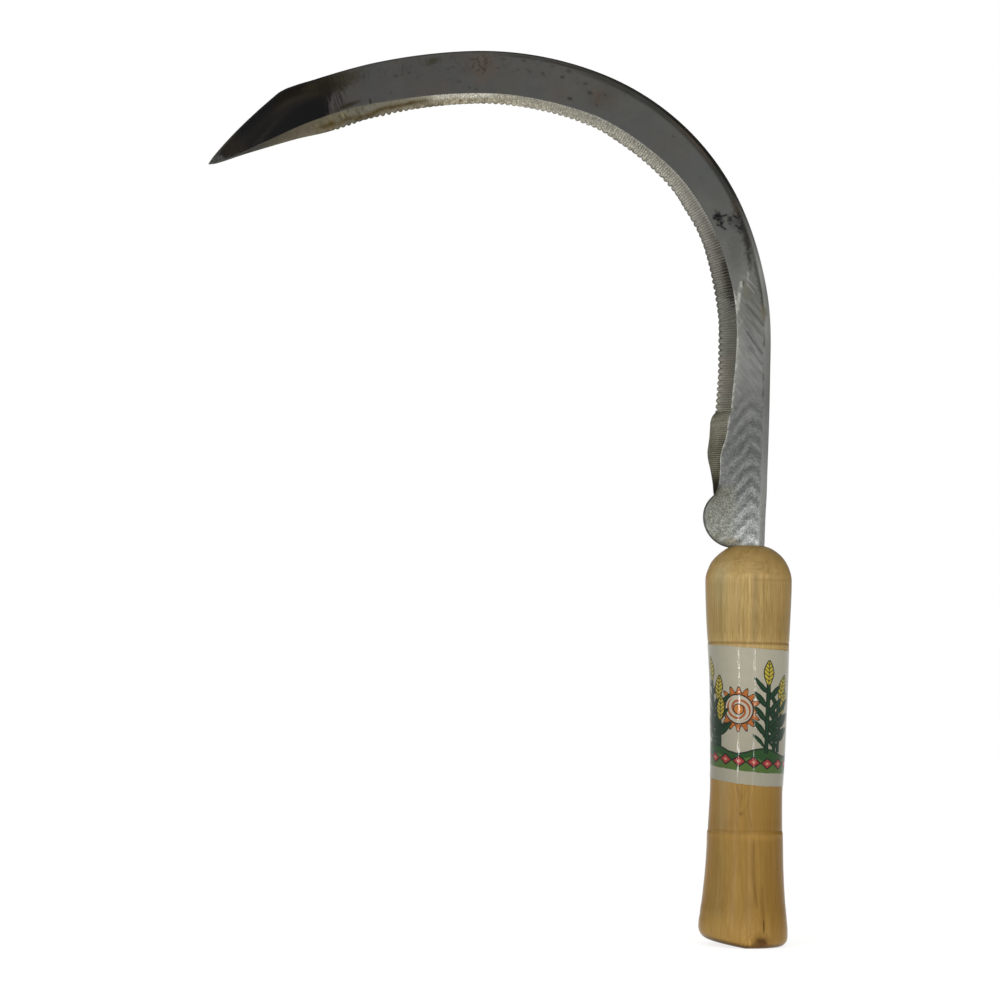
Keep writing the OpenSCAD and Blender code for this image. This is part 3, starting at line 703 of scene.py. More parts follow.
bev = lay(bev, np.where(KIND == 1, np.clip(3.0 * (fractal(X * 1.4, Z * 0.5, 103) - 0.52), 0, 1) * 0.45 * step(Z, 172, 182), 0), (0.20, 0.20, 0.16))
isb = (ZONE == 2) & (KIND < 2)
# brightness of face and bevel scaled stretch by stretch along the blade, carrying on the painted reflection in their
# colours
face *= np.interp(SB, [0, 50, 58, 82, 104, 127, 150, 200, 225, 240, 256, 264, 278, 300, 313, 331, 350, 361, 366], [0.72, 0.76, 0.82, 0.97, 0.95, 0.95, 0.93, 0.89, 0.83, 0.88, 0.91, 0.98, 0.79, 0.84, 0.755, 0.70, 0.76, 0.69, 0.69])[..., None]
bev *= np.interp(S, [0, 20, 43, 62, 96, 119, 150, 165, 196, 212, 229, 250, 266, 276, 290, 301], [0.54, 0.64, 0.81, 0.79, 0.83, 0.85, 0.81, 0.81, 0.79, 0.71, 0.64, 0.83, 1.02, 1.12, 0.77, 1.0])[..., None]
tan_b = (step(S, 18, 27) * (1 - step(S, 47, 56)))[..., None]
bev *= 1 + tan_b * (np.array([0.05, -0.02, -0.14]) + np.array([0.0, -0.02, -0.06]) * nb[..., None])
col = np.where(isb[..., None], bev, face)
col = np.where(((ZONE == 3) & (KIND < 2))[..., None], bev * 0.55, col)
notch = np.exp(-(((X + 13.0) ** 2 + ((Z - 169.8) * 0.55) ** 2) / 2.0**2))
col = lay(col, notch * 0.9, (0.021, 0.019, 0.012))
# heel edge, with painted shade along its rim and underside
heel_d = np.hypot(X + 6.2, Z - 160.0)
heel_rim_shade = np.where(KIND == 2, np.exp(-(((heel_d - 11.5) / (0.55 + 0.75 * (1 - step(Z, 149, 154)))) ** 2)), 0) * (1 - step(X, -7, -3))
col = lay(col, heel_rim_shade * (0.5 + 0.5 * (1 - step(Z, 153, 161))), (0.022, 0.0205, 0.0135))
lobe_m = (1 - step(heel_d, 10.5, 12.5)) * (1 - step(X, -9, -3))
col = lay(col, np.where(ZONE == 1, lobe_m * (0.25 + 0.35 * fractal(X * 0.9, Z * 0.9, 73)), 0), (0.125, 0.122, 0.085))
col = lay(col, np.where(ZONE == 1, lobe_m * np.clip(3.0 * (fractal(X * 1.5, Z * 1.5, 77) - 0.58), 0, 1) * 0.55, 0), (0.05, 0.046, 0.028))
# back face: plain forged steel with mill scale, thinned and stained
bk = rgb(0.26, 0.256, 0.24) * (0.75 + 0.5 * fractal(X * 0.16 + 40, Z * 0.16, 61))[..., None]
bk = lay(bk, np.clip(2.4 * (fractal(X * 0.4 + 9, Z * 0.4, 65) - 0.56), 0, 1) * 0.5, (0.13, 0.092, 0.056))
bk = lay(bk, step(SB, 285, 330) * 0.5, (0.36, 0.36, 0.34))
bk = lay(bk, np.exp(-((TE / 1.3) ** 2)) * step(S, 40, 52) * (1 - step(S, 272, 280)) * 0.5, (0.22, 0.215, 0.19))
bk = lay(bk, (1 - step(X, -172, -150)) * 0.6, (0.05, 0.048, 0.043))
col = np.where((ZONE >= 4)[..., None], bk, col)

# a marker blot with ragged sides and a few scuffs beside it
ink = np.zeros_like(X)
strokes = [
    [(715.0, 216.0), (721, 216.5), (727.0, 215.0)],
    [(718.0, 225.0), (722, 226.4), (726.0, 229.5)],
    [(734.5, 216.0), (738.0, 218.0)],
    [(736.5, 225.5), (741.0, 229.0)],
]
for line in strokes:
    pts, _ = spline([spot(*p) for p in line], 0.25)
    for a, b in zip(pts[:-1], pts[1:]):
        near = (np.abs(X - a[0]) < 3) & (np.abs(Z - a[1]) < 3) & (ZONE == 1)
        if not near.any():
            continue
        d = b - a
        t = np.clip(((X[near] - a[0]) * d[0] + (Z[near] - a[1]) * d[1]) / max(d @ d, 1e-9), 0, 1)
        dist = np.hypot(X[near] - a[0] - t * d[0], Z[near] - a[1] - t * d[1])
        ink[near] = np.maximum(ink[near], 1 - step(dist, 0.16 + 0.12 * fractal(X[near] * 1.2, Z[near] * 1.2, 83), 0.46))
ragged = fractal(X * 0.9, Z * 0.9, 105) - 0.5
blot = np.clip(1.7 * blob(719.0, 219.5, 4.6, 7.6, 24, 0.95) - 0.55 + 2.6 * ragged * (blob(719.0, 219.5, 6.0, 9.5, 24, 0.5)), 0, 1)
blot2 = np.clip(1.5 * blob(732.0, 219.0, 5.0, 5.5, 10, 0.95) - 0.75 + 3.2 * (fractal(X * 1.2, Z * 1.2, 107) - 0.5) * blob(732.0, 219.0, 7.0, 7.5, 10, 0.6), 0, 1)
ink = np.maximum(ink * 0.85, np.maximum(blot, 0.75 * blot2) * (ZONE == 1))
ink = np.maximum(ink, 0.35 * blob(737.0, 222.0, 5.0, 7.0, 20, 0.95) * (ZONE == 1))
col = lay(col, ink * 0.93, (0.006, 0.006, 0.007))

rough = np.full_like(X, 0.40)
rough = np.where(isb, 0.46, rough)
rough -= 0.10 * np.clip(dark, 0, 1) * (ZONE == 1)
rough += 0.08 * step(SB, 262, 290) * (ZONE == 1)
rough += 0.25 * ink
grain = np.where(isb | (ZONE == 3), 0.35 + 0.65 * step(S, 84, 96) * (1 - step(S, 232, 244)), 0.10 + 0.90 * step(SB, 300, 330))
grain = np.where(KIND == 1, 0.5, grain)
grain = np.where(ZONE >= 4, 0.4, grain)
ribs = np.where(isb, 0.10 * step(S, 70, 90) + 0.16 * step(S, 150, 165) * (1 - step(S, 236, 244)) + 0.06 * step(S, 236, 244), 0.0)
ribs = np.where(isb & (KIND == 1), (0.2 + 0.5 * (1 - step(QB, 0.4, 0.9))) * step(Z, 170, 178), ribs)
ribs = np.where(isb & (KIND == 0) & (S > 268), np.maximum(ribs, 0.35 * step(S, 268, 272) * (1 - step(QB, 0.3, 0.9))), ribs)
clot = np.where((ZONE == 1) & (T > C[:, None]), step(SB, 300, 325) * (0.45 + 0.65 * (1 - step(Z, 168, 192))), 0.0) + np.where(isb, 0.95 * step(S, 84, 94) * (1 - step(S, 165, 200)) + 0.25, 0.0)
diag = dg * (ZONE == 1)
swirl = step(SB, 300, 322) * ((ZONE == 1) | (KIND >= 2)) * (ZONE < 4)

verts = np.stack([X, Y, Z], -1).reshape(-1, 3)
faces = grid_faces(n_ring, n_col, close_cols=True)
first = list(range(n_col))
faces.append(first[::-1])

# the tang goes on from the last ring, inside the handle
tang = []
for zt, half, yy in ((140.5, 3.5, 2.0), (132.0, 3.4, 1.98), (66.5, 2.0, 1.6)):
    tang.append((zt, half, yy))
base = len(verts)
extra = []
for zt, half, yy in tang:
    xs = np.interp(T[-1], [0, span[-1]], [half, -half])
    ys = np.interp(Y[-1], [-2.0, 2.0], [-yy, yy])
    extra.append(np.stack([xs, ys, np.full(n_col, zt)], -1))
verts = np.vstack([verts] + extra)
ids = [list(range((n_ring - 1) * n_col, n_ring * n_col))] + [list(range(base + k * n_col, base + (k + 1) * n_col)) for k in range(3)]
for a, b in zip(ids[:-1], ids[1:]):
    for j in range(n_col):
        k = (j + 1) % n_col
        faces.append([a[j], a[k], b[k], b[j]])
faces.append(ids[-1])
pad = lambda v: np.concatenate([v.reshape(n_ring * n_col, -1), np.repeat(v[-1].reshape(n_col, -1)[None], 3, 0).reshape(3 * n_col, -1)])
tint = np.c_[pad(col), np.ones(len(verts))]
prop = np.c_[pad(rough), pad(grain * 1.0), pad(diag * 1.0), pad(swirl * 1.0)]
lean = 0.28 * step(S, 229, 233) * (1 - step(S, 239, 243)) * TE
flow = np.c_[pad(S + lean + 0.227 * np.clip(S - EDGE_LEN, 0, None)), pad(T)]
blade = make_mesh("sickle_blade", verts, faces, uv={"flow": flow}, colours={"tint": tint, "prop": prop, "comb": np.c_[pad(ribs * 1.0), pad(clot * 1.0), pad(ribs * 0.0), np.ones(len(verts))]})
blade.data.set_sharp_from_angle(angle=math.radians(38))

m = Nodes("forged_ground_steel")
tint_c = m.attr("tint")["Color"]
p = m.attr("prop")
sep = m.new("ShaderNodeSeparateColor")
m.link(p["Color"], sep.inputs[0])
rough_s, grain_s, diag_s = sep.outputs
swirl_s = p["Alpha"]
sep2 = m.new("ShaderNodeSeparateColor")
m.link(m.attr("comb")["Color"], sep2.inputs[0])
ribs_s, clot_s = sep2.outputs[0], sep2.outputs[1]
pos = m.object_mm()
px_, py_, pz_ = m.xyz(pos)
fine = m.noise(pos, 2.6, 3.0, 0.65)
speck = m.noise(pos, 5.5, 1.0, 0.5)
long_ = m.mapping(m.uv("flow"), scale=(0.10, 3.2, 1.0))
along = m.noise(long_, 1.0, 4.0, 0.6)
# lines left by the wheel: diagonal above, bent arcs below
d_vec = m.combine(m.add(m.mul(px_, 2.9), m.mul(pz_, 2.0)), m.add(m.mul(px_, -0.10), m.mul(pz_, 0.14)), 0.0)
diag_n = m.noise(d_vec, 1.0, 3.0, 0.6)
dx = m.sub(px_, 0.2)
arc_s = m.add(pz_, m.mul(m.math("SQRT", m.add(m.mul(dx, dx), 2.5)), 0.95))
a_vec = m.combine(m.mul(arc_s, 2.6), m.mul(px_, 0.6), 0.0)
arc_n = m.noise(a_vec, 1.0, 3.0, 0.65)
clots = m.noise(pos, 1.05, 2.0, 0.6)
salt = m.noise(pos, 1.9, 1.0, 0.5)
along_s = m.xyz(m.uv("flow"))[0]
lines_n = m.math("SINE", m.add(m.mul(along_s, 6.83), m.mul(clots, 3.0)))
mod = m.add(1.0, m.mul(m.sub(fine, 0.5), m.mul(grain_s, 1.5)))
mod = m.mul(mod, m.add(1.0, m.mul(m.sub(clots, 0.5), m.mul(clot_s, 1.05))))
mod = m.mul(mod, m.add(1.0, m.mul(m.sub(salt, 0.5), m.mul(clot_s, 1.35))))
mod = m.mul(mod, m.add(1.0, m.mul(lines_n, ribs_s)))
mod = m.mul(mod, m.add(1.0, m.mul(m.sub(along, 0.5), 0.10)))
mod = m.mul(mod, m.add(1.0, m.mul(m.sub(diag_n, 0.5), m.mul(diag_s, 0.9))))
mod = m.mul(mod, m.add(1.0, m.mul(m.sub(arc_n, 0.5), m.mul(swirl_s, 1.5))))
glint = m.mul(m.between(speck, 0.62, 0.74), m.mul(grain_s, 0.45))
mod = m.add(mod, glint)
base_c = m.vmath("SCALE", tint_c, mod)
height = m.add(m.add(m.mul(fine, m.mul(grain_s, 0.5)), m.mul(salt, m.mul(clot_s, 1.2))), m.add(m.mul(diag_n, m.mul(diag_s, 0.8)), m.mul(arc_n, m.mul(swirl_s, 0.8))))
m.set(Base_Color=base_c, Metallic=1.0)
m.put(m.bsdf.inputs["Roughness"], m.add(rough_s, m.mul(m.sub(fine, 0.5), 0.12)))
m.link(m.bump(height, 0.35, 0.00006), m.bsdf.inputs["Normal"])
blade.data.materials.append(m.mat)
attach(blade, "root")
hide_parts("blade")

# ------------------------------------------------------------------- handle
R_TAB = [
    (0, 16.5), (7.5, 16.48), (9.4, 16.41), (13.1, 15.96), (16.9, 15.53), (24.3, 14.88), (31.8, 14.36), (39.2, 14.03), (43.0, 13.83),
    (46.7, 13.68), (54.2, 13.46), (57.9, 13.38), (61.6, 13.5), (69.1, 13.77), (76.6, 13.95), (84.1, 14.1), (91.6, 14.36),
    (99.0, 14.6), (110.3, 14.97), (114.0, 15.2), (121.5, 15.61), (129.0, 15.91), (133.0, 16.04), (136.5, 16.04), (150, 16.04),
]
BOW = [
    (0, -0.5), (8, -0.53), (17, -0.5), (24, -0.43), (32, -0.34), (40, -0.28), (46, -0.2), (57, -0.02), (61, 0.1), (69, 0.2),
    (76, 0.28), (84, 0.33), (91, 0.36), (99, 0.33), (110, 0.12), (114, -0.05), (121, -0.16), (132, -0.24), (141, -0.34), (150, -0.38),
]


def hand_r(z):
    r = smooth_table(z, R_TAB, 3.0) + 0.12
    r = r - 0.12 * step(z, 8, 14) * (1 - step(z, 36, 44)) - 0.06 * step(z, 84, 90) * (1 - step(z, 100, 106))
    r = r - 0.14 * np.exp(-(((z - 15.5) / 3.0) ** 2)) - 0.07 * step(z, 62, 66) * (1 - step(z, 76, 82))
    r = r + 0.2 * (1 - step(z, 41.7, 43.1)) * step(z, 20, 42)
    r = r - 0.13 * np.exp(-(((z - 113.0) / 0.42) ** 2)) - 0.04 * np.exp(-(((z - 43.25) / 0.35) ** 2))
    return r


def bow(z):
    return smooth_table(z, BOW, 5.0) + 0.08 + 0.12 * step(z, 8, 14) * (1 - step(z, 36, 44)) + 0.05 * step(z, 84, 90) * (1 - step(z, 100, 106)) + 0.12 * np.exp(-(((z - 15.5) / 3.0) ** 2)) + 0.07 * step(z, 62, 66) * (1 - step(z, 76, 82))


prof = []  # (radius share or radius, z, how far down the butt)
DOME_R, DOME_Z = 13.0, TOP - 13.0
zs = np.r_[np.arange(6.6, 41.6, 0.7), np.arange(41.6, 44.2, 0.12), np.arange(44.2, 111.9, 0.8), np.arange(111.9, 114.2, 0.1), np.arange(114.2, 135.6, 0.7), np.arange(135.6, DOME_Z, 0.12)]
NPHI = 288
phi = np.arange(NPHI) / NPHI * 2 * np.pi  # 0 faces -Y, a quarter turn faces +X
sn_, cs_ = np.sin(phi), np.cos(phi)
rows_r, rows_z = [], []
lift_l = 0.5 - 0.5 * sn_  # 1 on the left, 0 on the right
rim_r = 3.4 + 0.2 * lift_l
rim_h = 3.5 + 0.5 * lift_l
r6 = hand_r(np.array([6.6]))[0]
for q in (0.02, 0.25, 0.5, 0.75, 0.9, 1.0):
    rows_r.append((16.6 - rim_r) * q)
    rows_z.append(np.zeros(NPHI))
for a in np.radians(np.arange(6, 90, 6)):
    rows_r.append(16.6 - rim_r + rim_r * math.sin(a))
    rows_z.append(rim_h * (1 - math.cos(a)))
top_rim = rim_h
for i, zz in enumerate(zs):
    lowf = np.clip((zz - 6.6) / 14.0, 0, 1)
    zrow = np.maximum(zz, top_rim + 0.2 + 0.02 * i) if zz < 16 else np.full(NPHI, zz)
    if zz < 16:
        k = (zz - 6.6) / (16 - 6.6)
        zrow = (rim_h + 0.15) * (1 - k) + 16.0 * k
    rows_z.append(zrow)
    rows_r.append(hand_r(zrow))
for a in np.radians(np.r_[np.arange(0, 84, 3), 84, 87, 90]):
    rows_r.append(16.16 - DOME_R + DOME_R * math.cos(a) - 0.4 * lift_l * step(math.degrees(a), 25, 50) * (1 - step(math.degrees(a), 70, 85)) - (0.24 + 0.2 * lift_l) * step(math.degrees(a), -2, 23) * (1 - step(math.degrees(a), 55, 72)))
    rows_z.append(np.full(NPHI, DOME_Z + DOME_R * math.sin(a)))
rows_r.append(np.full(NPHI, 1.5))
rows_z.append(np.full(NPHI, TOP))
RR, ZZ = np.array(rows_r), np.array(rows_z)
# turned by hand: the foot isn't quite round
RR = RR + np.clip(-sn_, 0, 1)[None] * (0.16 * np.exp(-(((ZZ - 15.8) / 2.4) ** 2)) - 0.30 * np.exp(-(((ZZ - 9.2) / 2.4) ** 2)))
RR = RR + np.clip(sn_, 0, 1)[None] * 0.18 * (1 - step(ZZ, 6.0, 10.0)) * step(RR, 8.0, 14.0)
# the butt is cut a little out of square, higher on the left
HX = RR * sn_[None]
HY = -RR * cs_[None]
left_of = np.clip(-HX, 0, None)
slant = (0.172 * left_of + 0.0004 * left_of**2) * (1 - step(ZZ, 0.0, 32.0))
HZ = ZZ + slant
HX = HX + bow(ZZ)
hv = np.stack([HX, HY, HZ], -1).reshape(-1, 3)
hf = grid_faces(len(RR), NPHI, close_cols=True)
nb_ = len(hv)
hv = np.vstack([hv, [[bow(np.array([0.0]))[0], 0, HZ[0].mean()]], [[bow(np.array([150.0]))[0], 0, TOP]]])
for j in range(NPHI):
    k = (j + 1) % NPHI
    hf.append([nb_, k, j])
    last = (len(RR) - 1) * NPHI
    hf.append([nb_ + 1, last + j, last + k])

# colour laid on the wood by place: warmth down the handle, knot, crack, a burnt line, and the painted shade of the
# turned step
WX, WY, WZ = hv[:, 0], hv[:, 1], hv[:, 2]
PH = np.arctan2(WX, -WY)
warm = 1 - step(WZ, 48, 118)
warm_c = np.stack([1.0 - 0.285 * warm, 1.0 - 0.40 * warm, 1.0 - 0.645 * warm], -1)
front = step(-WY, 4, 12)
kd = np.hypot(WX - 5.2, (WZ - 0.6) * 0.74)
knot = (1 - step(kd + 0.35 * (fractal(WX, WZ, 71) - 0.5), 2.5, 3.3)) * front * step(4.9 - WZ, -0.4, 0.4)
halo = np.exp(-(((kd - 3.6) / 0.7) ** 2)) * front * 0.45
deep = np.exp(-((np.hypot((WX - 5.6) / 1.9, (WZ - 2.9) / 1.1)) ** 2)) * front
crack = np.exp(-(((WX - 6.3) / 0.26) ** 2)) * step(WZ, 5.8, 6.8) * (1 - step(WZ, 9.6, 11.4)) * front
groove = np.exp(-(((WZ - 113.0) / 0.55) ** 2))
step_shade_line = np.exp(-(((WZ - 43.3 - 0.25 * np.sin(WX * 0.35)) / 0.4) ** 2))
wtint = warm_c.copy()


def path(points, width, z0, z1, soft=2.0):
    """A soft line up the front of the wood through (z, x) points."""
    q = np.array(sorted(points), float)
    xc_ = np.interp(WZ, q[:, 0], q[:, 1])
    return np.exp(-(((WX - xc_) / width) ** 2)) * step(WZ, z0 - soft, z0 + soft) * (1 - step(WZ, z1 - soft, z1 + soft)) * step(-WY, 2, 6)


def tone(mask, k):
    global wtint
    wtint = wtint * (1 - mask[:, None] * (1 - np.array(k, float))[None])


# lower part: a bright line up the middle, which is painted highlight, with a dark band beside it, and the line that
# runs down to the crack
tone(path([(42.5, 0.45), (30, 0.68), (21, 1.1)], 0.38, 20.5, 41.5), (1.22, 1.23, 1.30))
tone(path([(40.5, 2.0), (30, 2.25), (18, 2.9)], 0.6, 16.0, 39.5), (0.77, 0.74, 0.69))
tone(path([(38, 4.0), (24, 4.6), (14, 5.2)], 0.5, 14.0, 38.0), (1.07, 1.08, 1.10))
tone(path([(24, 2.6), (20, 3.2), (15, 4.0)], 0.28, 15.5, 23.5, 1.0), (0.78, 0.74, 0.68))
tone(path([(24, 5.3), (15, 5.9), (6, 6.3)], 0.28, 7.0, 23.0, 2.0), (0.70, 0.64, 0.56))
tone(path([(22, 4.6), (15, 5.2), (9, 5.5)], 0.2, 8.0, 20.0, 2.0), (0.82, 0.78, 0.72))
tone(path([(36, 6.6), (26, 7.0), (16, 7.6)], 0.6, 16.0, 36.0), (0.92, 0.91, 0.90))
tone(path([(40, -3.4), (20, -4.2), (10, -4.8)], 0.9, 12.0, 38.0, 4.0), (1.05, 1.05, 1.04))
tone(path([(40, -7.5), (20, -8.6), (10, -9.4)], 0.6, 12.0, 38.0, 4.0), (0.95, 0.96, 0.96))
# above the turned line: fine dark lines that run together, and one that crosses to the right
tone(path([(62.0, -4.3), (56.0, -3.7), (51.0, -2.9)], 0.17, 51.5, 63.0, 0.8), (0.66, 0.60, 0.52))
tone(path([(62.0, -3.3), (56.0, -3.0), (51.0, -2.7)], 0.13, 52.0, 63.0, 0.8), (0.78, 0.73, 0.66))
tone(path([(62.0, -2.3), (51.5, -2.55)], 0.17, 52.0, 63.0, 0.8), (0.68, 0.62, 0.54))
tone(path([(62.0, -1.3), (53.0, -1.6), (46.0, -1.1)], 0.2, 46.5, 60.0, 1.0), (0.86, 0.83, 0.79))
tone(path([(54.0, -0.4), (49.0, 0.4), (43.6, 1.5)], 0.26, 44.0, 53.5, 1.0), (0.76, 0.71, 0.64))
tone(path([(62.0, 0.0), (52.0, 0.2)], 0.22, 52.5, 63.0, 1.0), (0.84, 0.81, 0.77))
tone(path([(62.0, 1.4), (56.5, 1.3)], 0.28, 57.0, 63.0, 0.8), (1.22, 1.23, 1.28))
tone(path([(62.0, -5.0), (50.0, -4.6)], 0.22, 53.0, 63.0, 1.5), (1.12, 1.13, 1.18))
tone(np.exp(-((np.hypot(WX + 2.72, (WZ - 49.9) * 0.8) / 0.5) ** 2)) * front, (0.5, 0.42, 0.34))
cathedral = np.sin(2.2 * (WZ * 0.42 - 0.42 * (WX + 2.4) ** 2)) * (1 - step(np.abs(WX + 2.4), 2.0, 4.2)) * step(WZ, 40, 47) * (1 - step(WZ, 60, 75)) * front
tone(np.clip(cathedral, 0, 1), (0.91, 0.89, 0.86))
cathedral2 = np.sin(2.3 * ((150 - WZ) * 0.32 - 0.16 * (WX - 0.5) ** 2)) * step(WZ, 116, 126) * (1 - step(WZ, 141, 149)) * front * (1 - step(np.abs(WX), 6, 11))
tone(np.clip(cathedral2, 0, 1), (0.95, 0.94, 0.91))
# the swollen top: fine lines, a pale band left of the middle and a bright line beside it; the bright fine lines are
# partly grain, partly painted varnish highlight
tone(step(WX, -9.8, -8.8) * (1 - step(WX, -3.9, -3.1)) * step(WZ, 113, 116) * (1 - step(WZ, 134, 140)) * front, (1.06, 1.07, 1.08))
for x0, wd, k in (
    (-10.4, 0.3, 1.02), (-9.6, 0.2, 0.96), (-8.3, 0.75, 1.08), (-11.2, 0.5, 0.90), (-13.4, 0.5, 0.94), (-7.4, 0.15, 0.90), (-7.0, 0.12, 1.08), (-6.65, 0.14, 0.92), (-5.8, 0.3, 1.06),
    (-5.15, 0.14, 0.92), (-4.75, 0.12, 1.06), (-4.4, 0.14, 0.91), (-3.65, 0.18, 1.22), (-3.05, 0.22, 0.84), (-2.6, 0.2, 0.97), (-2.1, 0.12, 1.07),
    (-1.75, 0.12, 0.92), (-0.95, 0.3, 1.22), (-0.35, 0.2, 1.05), (1.35, 0.95, 0.77), (2.3, 0.25, 0.96), (3.45, 0.38, 1.12), (4.6, 0.42, 0.90),
    (6.0, 0.35, 1.03), (7.0, 0.2, 0.96), (8.1, 0.5, 0.95), (9.6, 0.5, 1.03),
):
    tone(path([(112, x0 * 1.0), (128, x0 * 0.985 + 0.15 * math.sin(x0 * 3)), (149, x0 * 0.9)], wd, 113.6, 139.0, 1.6), (k, k, k if k > 1 else k - 0.03))
tone(path([(112, -4.75), (124, -4.65)], 0.12, 115, 122, 1.0), (0.72, 0.68, 0.6))
tone(step(WZ, 113.2, 115.0) * (1 - step(WZ, 134.5, 136.6)) * (1 - 0.42 * step(WZ, 121.0, 131.5)), (0.80, 0.78, 0.70))
# painted sheen: the left part of the top made bluer, standing in for the varnish's reflection
tone(step(-WX, 8, 13) * front * step(WZ, 124, 131) * (1 - step(WZ, 137, 145)), (1.0, 1.08, 1.28))
# painted highlight: a light band across the dome's shoulder
tone(np.exp(-(((WZ - 138.0) / 0.9) ** 2)) * (0.4 + 1.0 * fractal(PH * 3.0, WZ * 0.4, 95)) * (0.35 + 0.65 * (1 - step(np.abs(WX + 1.0), 6.5, 9.5))), (1.10, 1.10, 1.12))
tone(np.exp(-(((WZ - 136.4) / 0.5) ** 2)) * (0.3 + 0.7 * step(WX, -1.5, 1.0)), (0.84, 0.82, 0.78))
tone(np.exp(-(((WZ - 115.2) / 1.0) ** 2)) * (0.5 + 0.5 * fractal(PH * 4.0, WZ * 0.3, 96)), (1.12, 1.13, 1.14))
tone(step(WZ, 137, 143) * np.clip(2.4 * (fractal(WX * 0.35, (WZ - 0.2 * WX) * 0.55, 97) - 0.5), 0, 1), (0.86, 0.84, 0.80))
for z_, x_0, c_, w_, a_, b_, k_ in (
    (143.4, -1.0, 0.030, 0.22, -8.0, 4.0, 0.84), (142.0, -1.5, 0.026, 0.20, -3.5, 6.5, 0.86), (140.7, -0.5, 0.020, 0.22, -2.0, 8.5, 0.84),
    (139.6, 1.0, 0.016, 0.18, 0.5, 9.5, 0.88), (144.6, -2.5, 0.040, 0.20, -6.5, -0.5, 0.86), (138.9, -6.5, 0.015, 0.20, -11.0, -2.5, 0.90),
):
    tone(np.exp(-(((WZ - z_ + c_ * (WX - x_0) ** 2) / w_) ** 2)) * step(WX, a_ - 1, a_ + 1) * (1 - step(WX, b_ - 1, b_ + 1)) * step(-WY, 1, 4), (k_, k_ - 0.02, k_ - 0.06))
# painted sheen: the left side of the front made greyer and bluer at several heights, standing in for the varnish's
# reflection
tone(step(-WX, 5, 12) * front, (0.95, 1.03, 1.20))
tone(step(-WX, 5, 12) * front * step(WZ, 134, 140), (1.03, 1.06, 1.10))
tone(step(-WX, 4, 11) * front * step(WZ, 40, 46) * (1 - step(WZ, 62, 90)), (1.0, 1.12, 1.95))
tone(step(-WX, 5, 12) * front * step(WZ, 8, 16) * (1 - step(WZ, 34, 42)), (0.96, 1.04, 1.25))
tone(np.ones(len(hv)), (0.925, 0.925, 0.955))
tone(1 - step(WZ, 6.0, 16.0), (1.22, 1.25, 1.40))
# painted highlight: a small glossy spot in the varnish beside the knot
tone(np.exp(-(((WX - 1.25) / 0.32) ** 2 + ((WZ - 2.2) / 1.2) ** 2)) * front, (1.9, 1.95, 2.1))
for r_, k_ in ((5.2, 1.10), (5.9, 0.90), (6.7, 1.09), (7.5, 0.93)):
    tone(np.exp(-(((np.hypot(WX - 4.6, (WZ - 0.4) * 1.0) - r_) / 0.3) ** 2)) * front * (1 - step(np.abs(WX - 1.5), 4.5, 8.0)), (k_, k_, k_))
# the lower rim of the butt, where it turns down, darkened as painted shade
facing_down = np.zeros(len(hv))
facing_down[: nb_] = np.repeat(np.r_[np.ones(6), np.sin(np.radians(90 - np.arange(6, 90, 6))), np.zeros(len(RR) - 6 - len(np.arange(6, 90, 6)))], NPHI)
facing_down[nb_] = 1
tone(step(facing_down, 0.40, 0.88), (0.22, 0.19, 0.15))
for z1_, x1_, z0_, x0_, w_, k_ in ((149.2, 1.2, 146.2, -2.4, 0.28, 0.78), (148.4, -2.0, 145.4, -5.0, 0.25, 0.84), (147.4, 2.6, 145.2, -0.6, 0.22, 0.86), (146.2, -3.0, 143.8, -6.0, 0.22, 0.88), (149.3, 4.2, 147.6, 2.2, 0.2, 0.88)):
    tone(path([(z1_, x1_), (z0_, x0_)], w_, z0_, z1_, 0.5), (k_, k_ - 0.02, k_ - 0.05))
wtint = lay(wtint, halo, (0.44, 0.31, 0.16))
wtint = lay(wtint, knot * 0.75, (0.30, 0.19, 0.075))
wtint = lay(wtint, knot * np.clip(1.8 * (fractal(WX * 0.7, WZ * 0.7, 99) - 0.35), 0, 1) * 0.6, (0.14, 0.08, 0.03))
wtint = lay(wtint, deep * 0.7, (0.10, 0.052, 0.02))
wtint = lay(wtint, crack * 0.95, (0.05, 0.026, 0.012))
tone(groove, (0.62, 0.57, 0.46))
tone(np.exp(-(((WZ - 111.6) / 0.5) ** 2)), (1.08, 1.09, 1.1))
# painted light at the turned step: shade along its line and broadly above it, a highlight band just below it
tone(step_shade_line, (0.86, 0.83, 0.78))
tone(np.exp(-(((WZ - 41.2) / 1.1) ** 2)) * (0.35 + 0.65 * step(WX, -6, 5)) * (0.5 + 0.8 * fractal(PH * 3, WZ * 0.5, 98)), (1.22, 1.23, 1.28))
tone(np.exp(-(((WZ - 46.0) / 1.8) ** 2)), (0.95, 0.94, 0.92))
wood_tint = np.c_[wtint, np.ones(len(hv))]
handle = make_mesh("sickle_handle", hv, hf, colours={"wood_tint": wood_tint})
handle.data.set_sharp_from_angle(angle=math.radians(50))

# the sawn slot and the drilled hole
bm = bmesh.new()
bmesh.ops.create_cube(bm, size=1.0, matrix=Matrix.Translation(Vector((-0.9, 0, 145.35)) * MM) @ Matrix.Diagonal(Vector((13.3, 4.3, 10.0, 1.0)) * MM).to_4x4())
cutter_me = bpy.data.meshes.new("slot_cutter")
bm.to_mesh(cutter_me)
bm.free()
cutter = bpy.data.objects.new("slot_cutter", cutter_me)
bpy.context.scene.collection.objects.link(cutter)
bm = bmesh.new()
bmesh.ops.create_cone(bm, cap_ends=True, segments=64, radius1=4.5 * MM, radius2=4.5 * MM, depth=77.3 * MM, matrix=Matrix.Translation(Vector((0, 0, 63.5 + 77.3 / 2)) * MM))
hole_me = bpy.data.meshes.new("hole_cutter")
bm.to_mesh(hole_me)
bm.free()
hole = bpy.data.objects.new("hole_cutter", hole_me)
bpy.context.scene.collection.objects.link(hole)
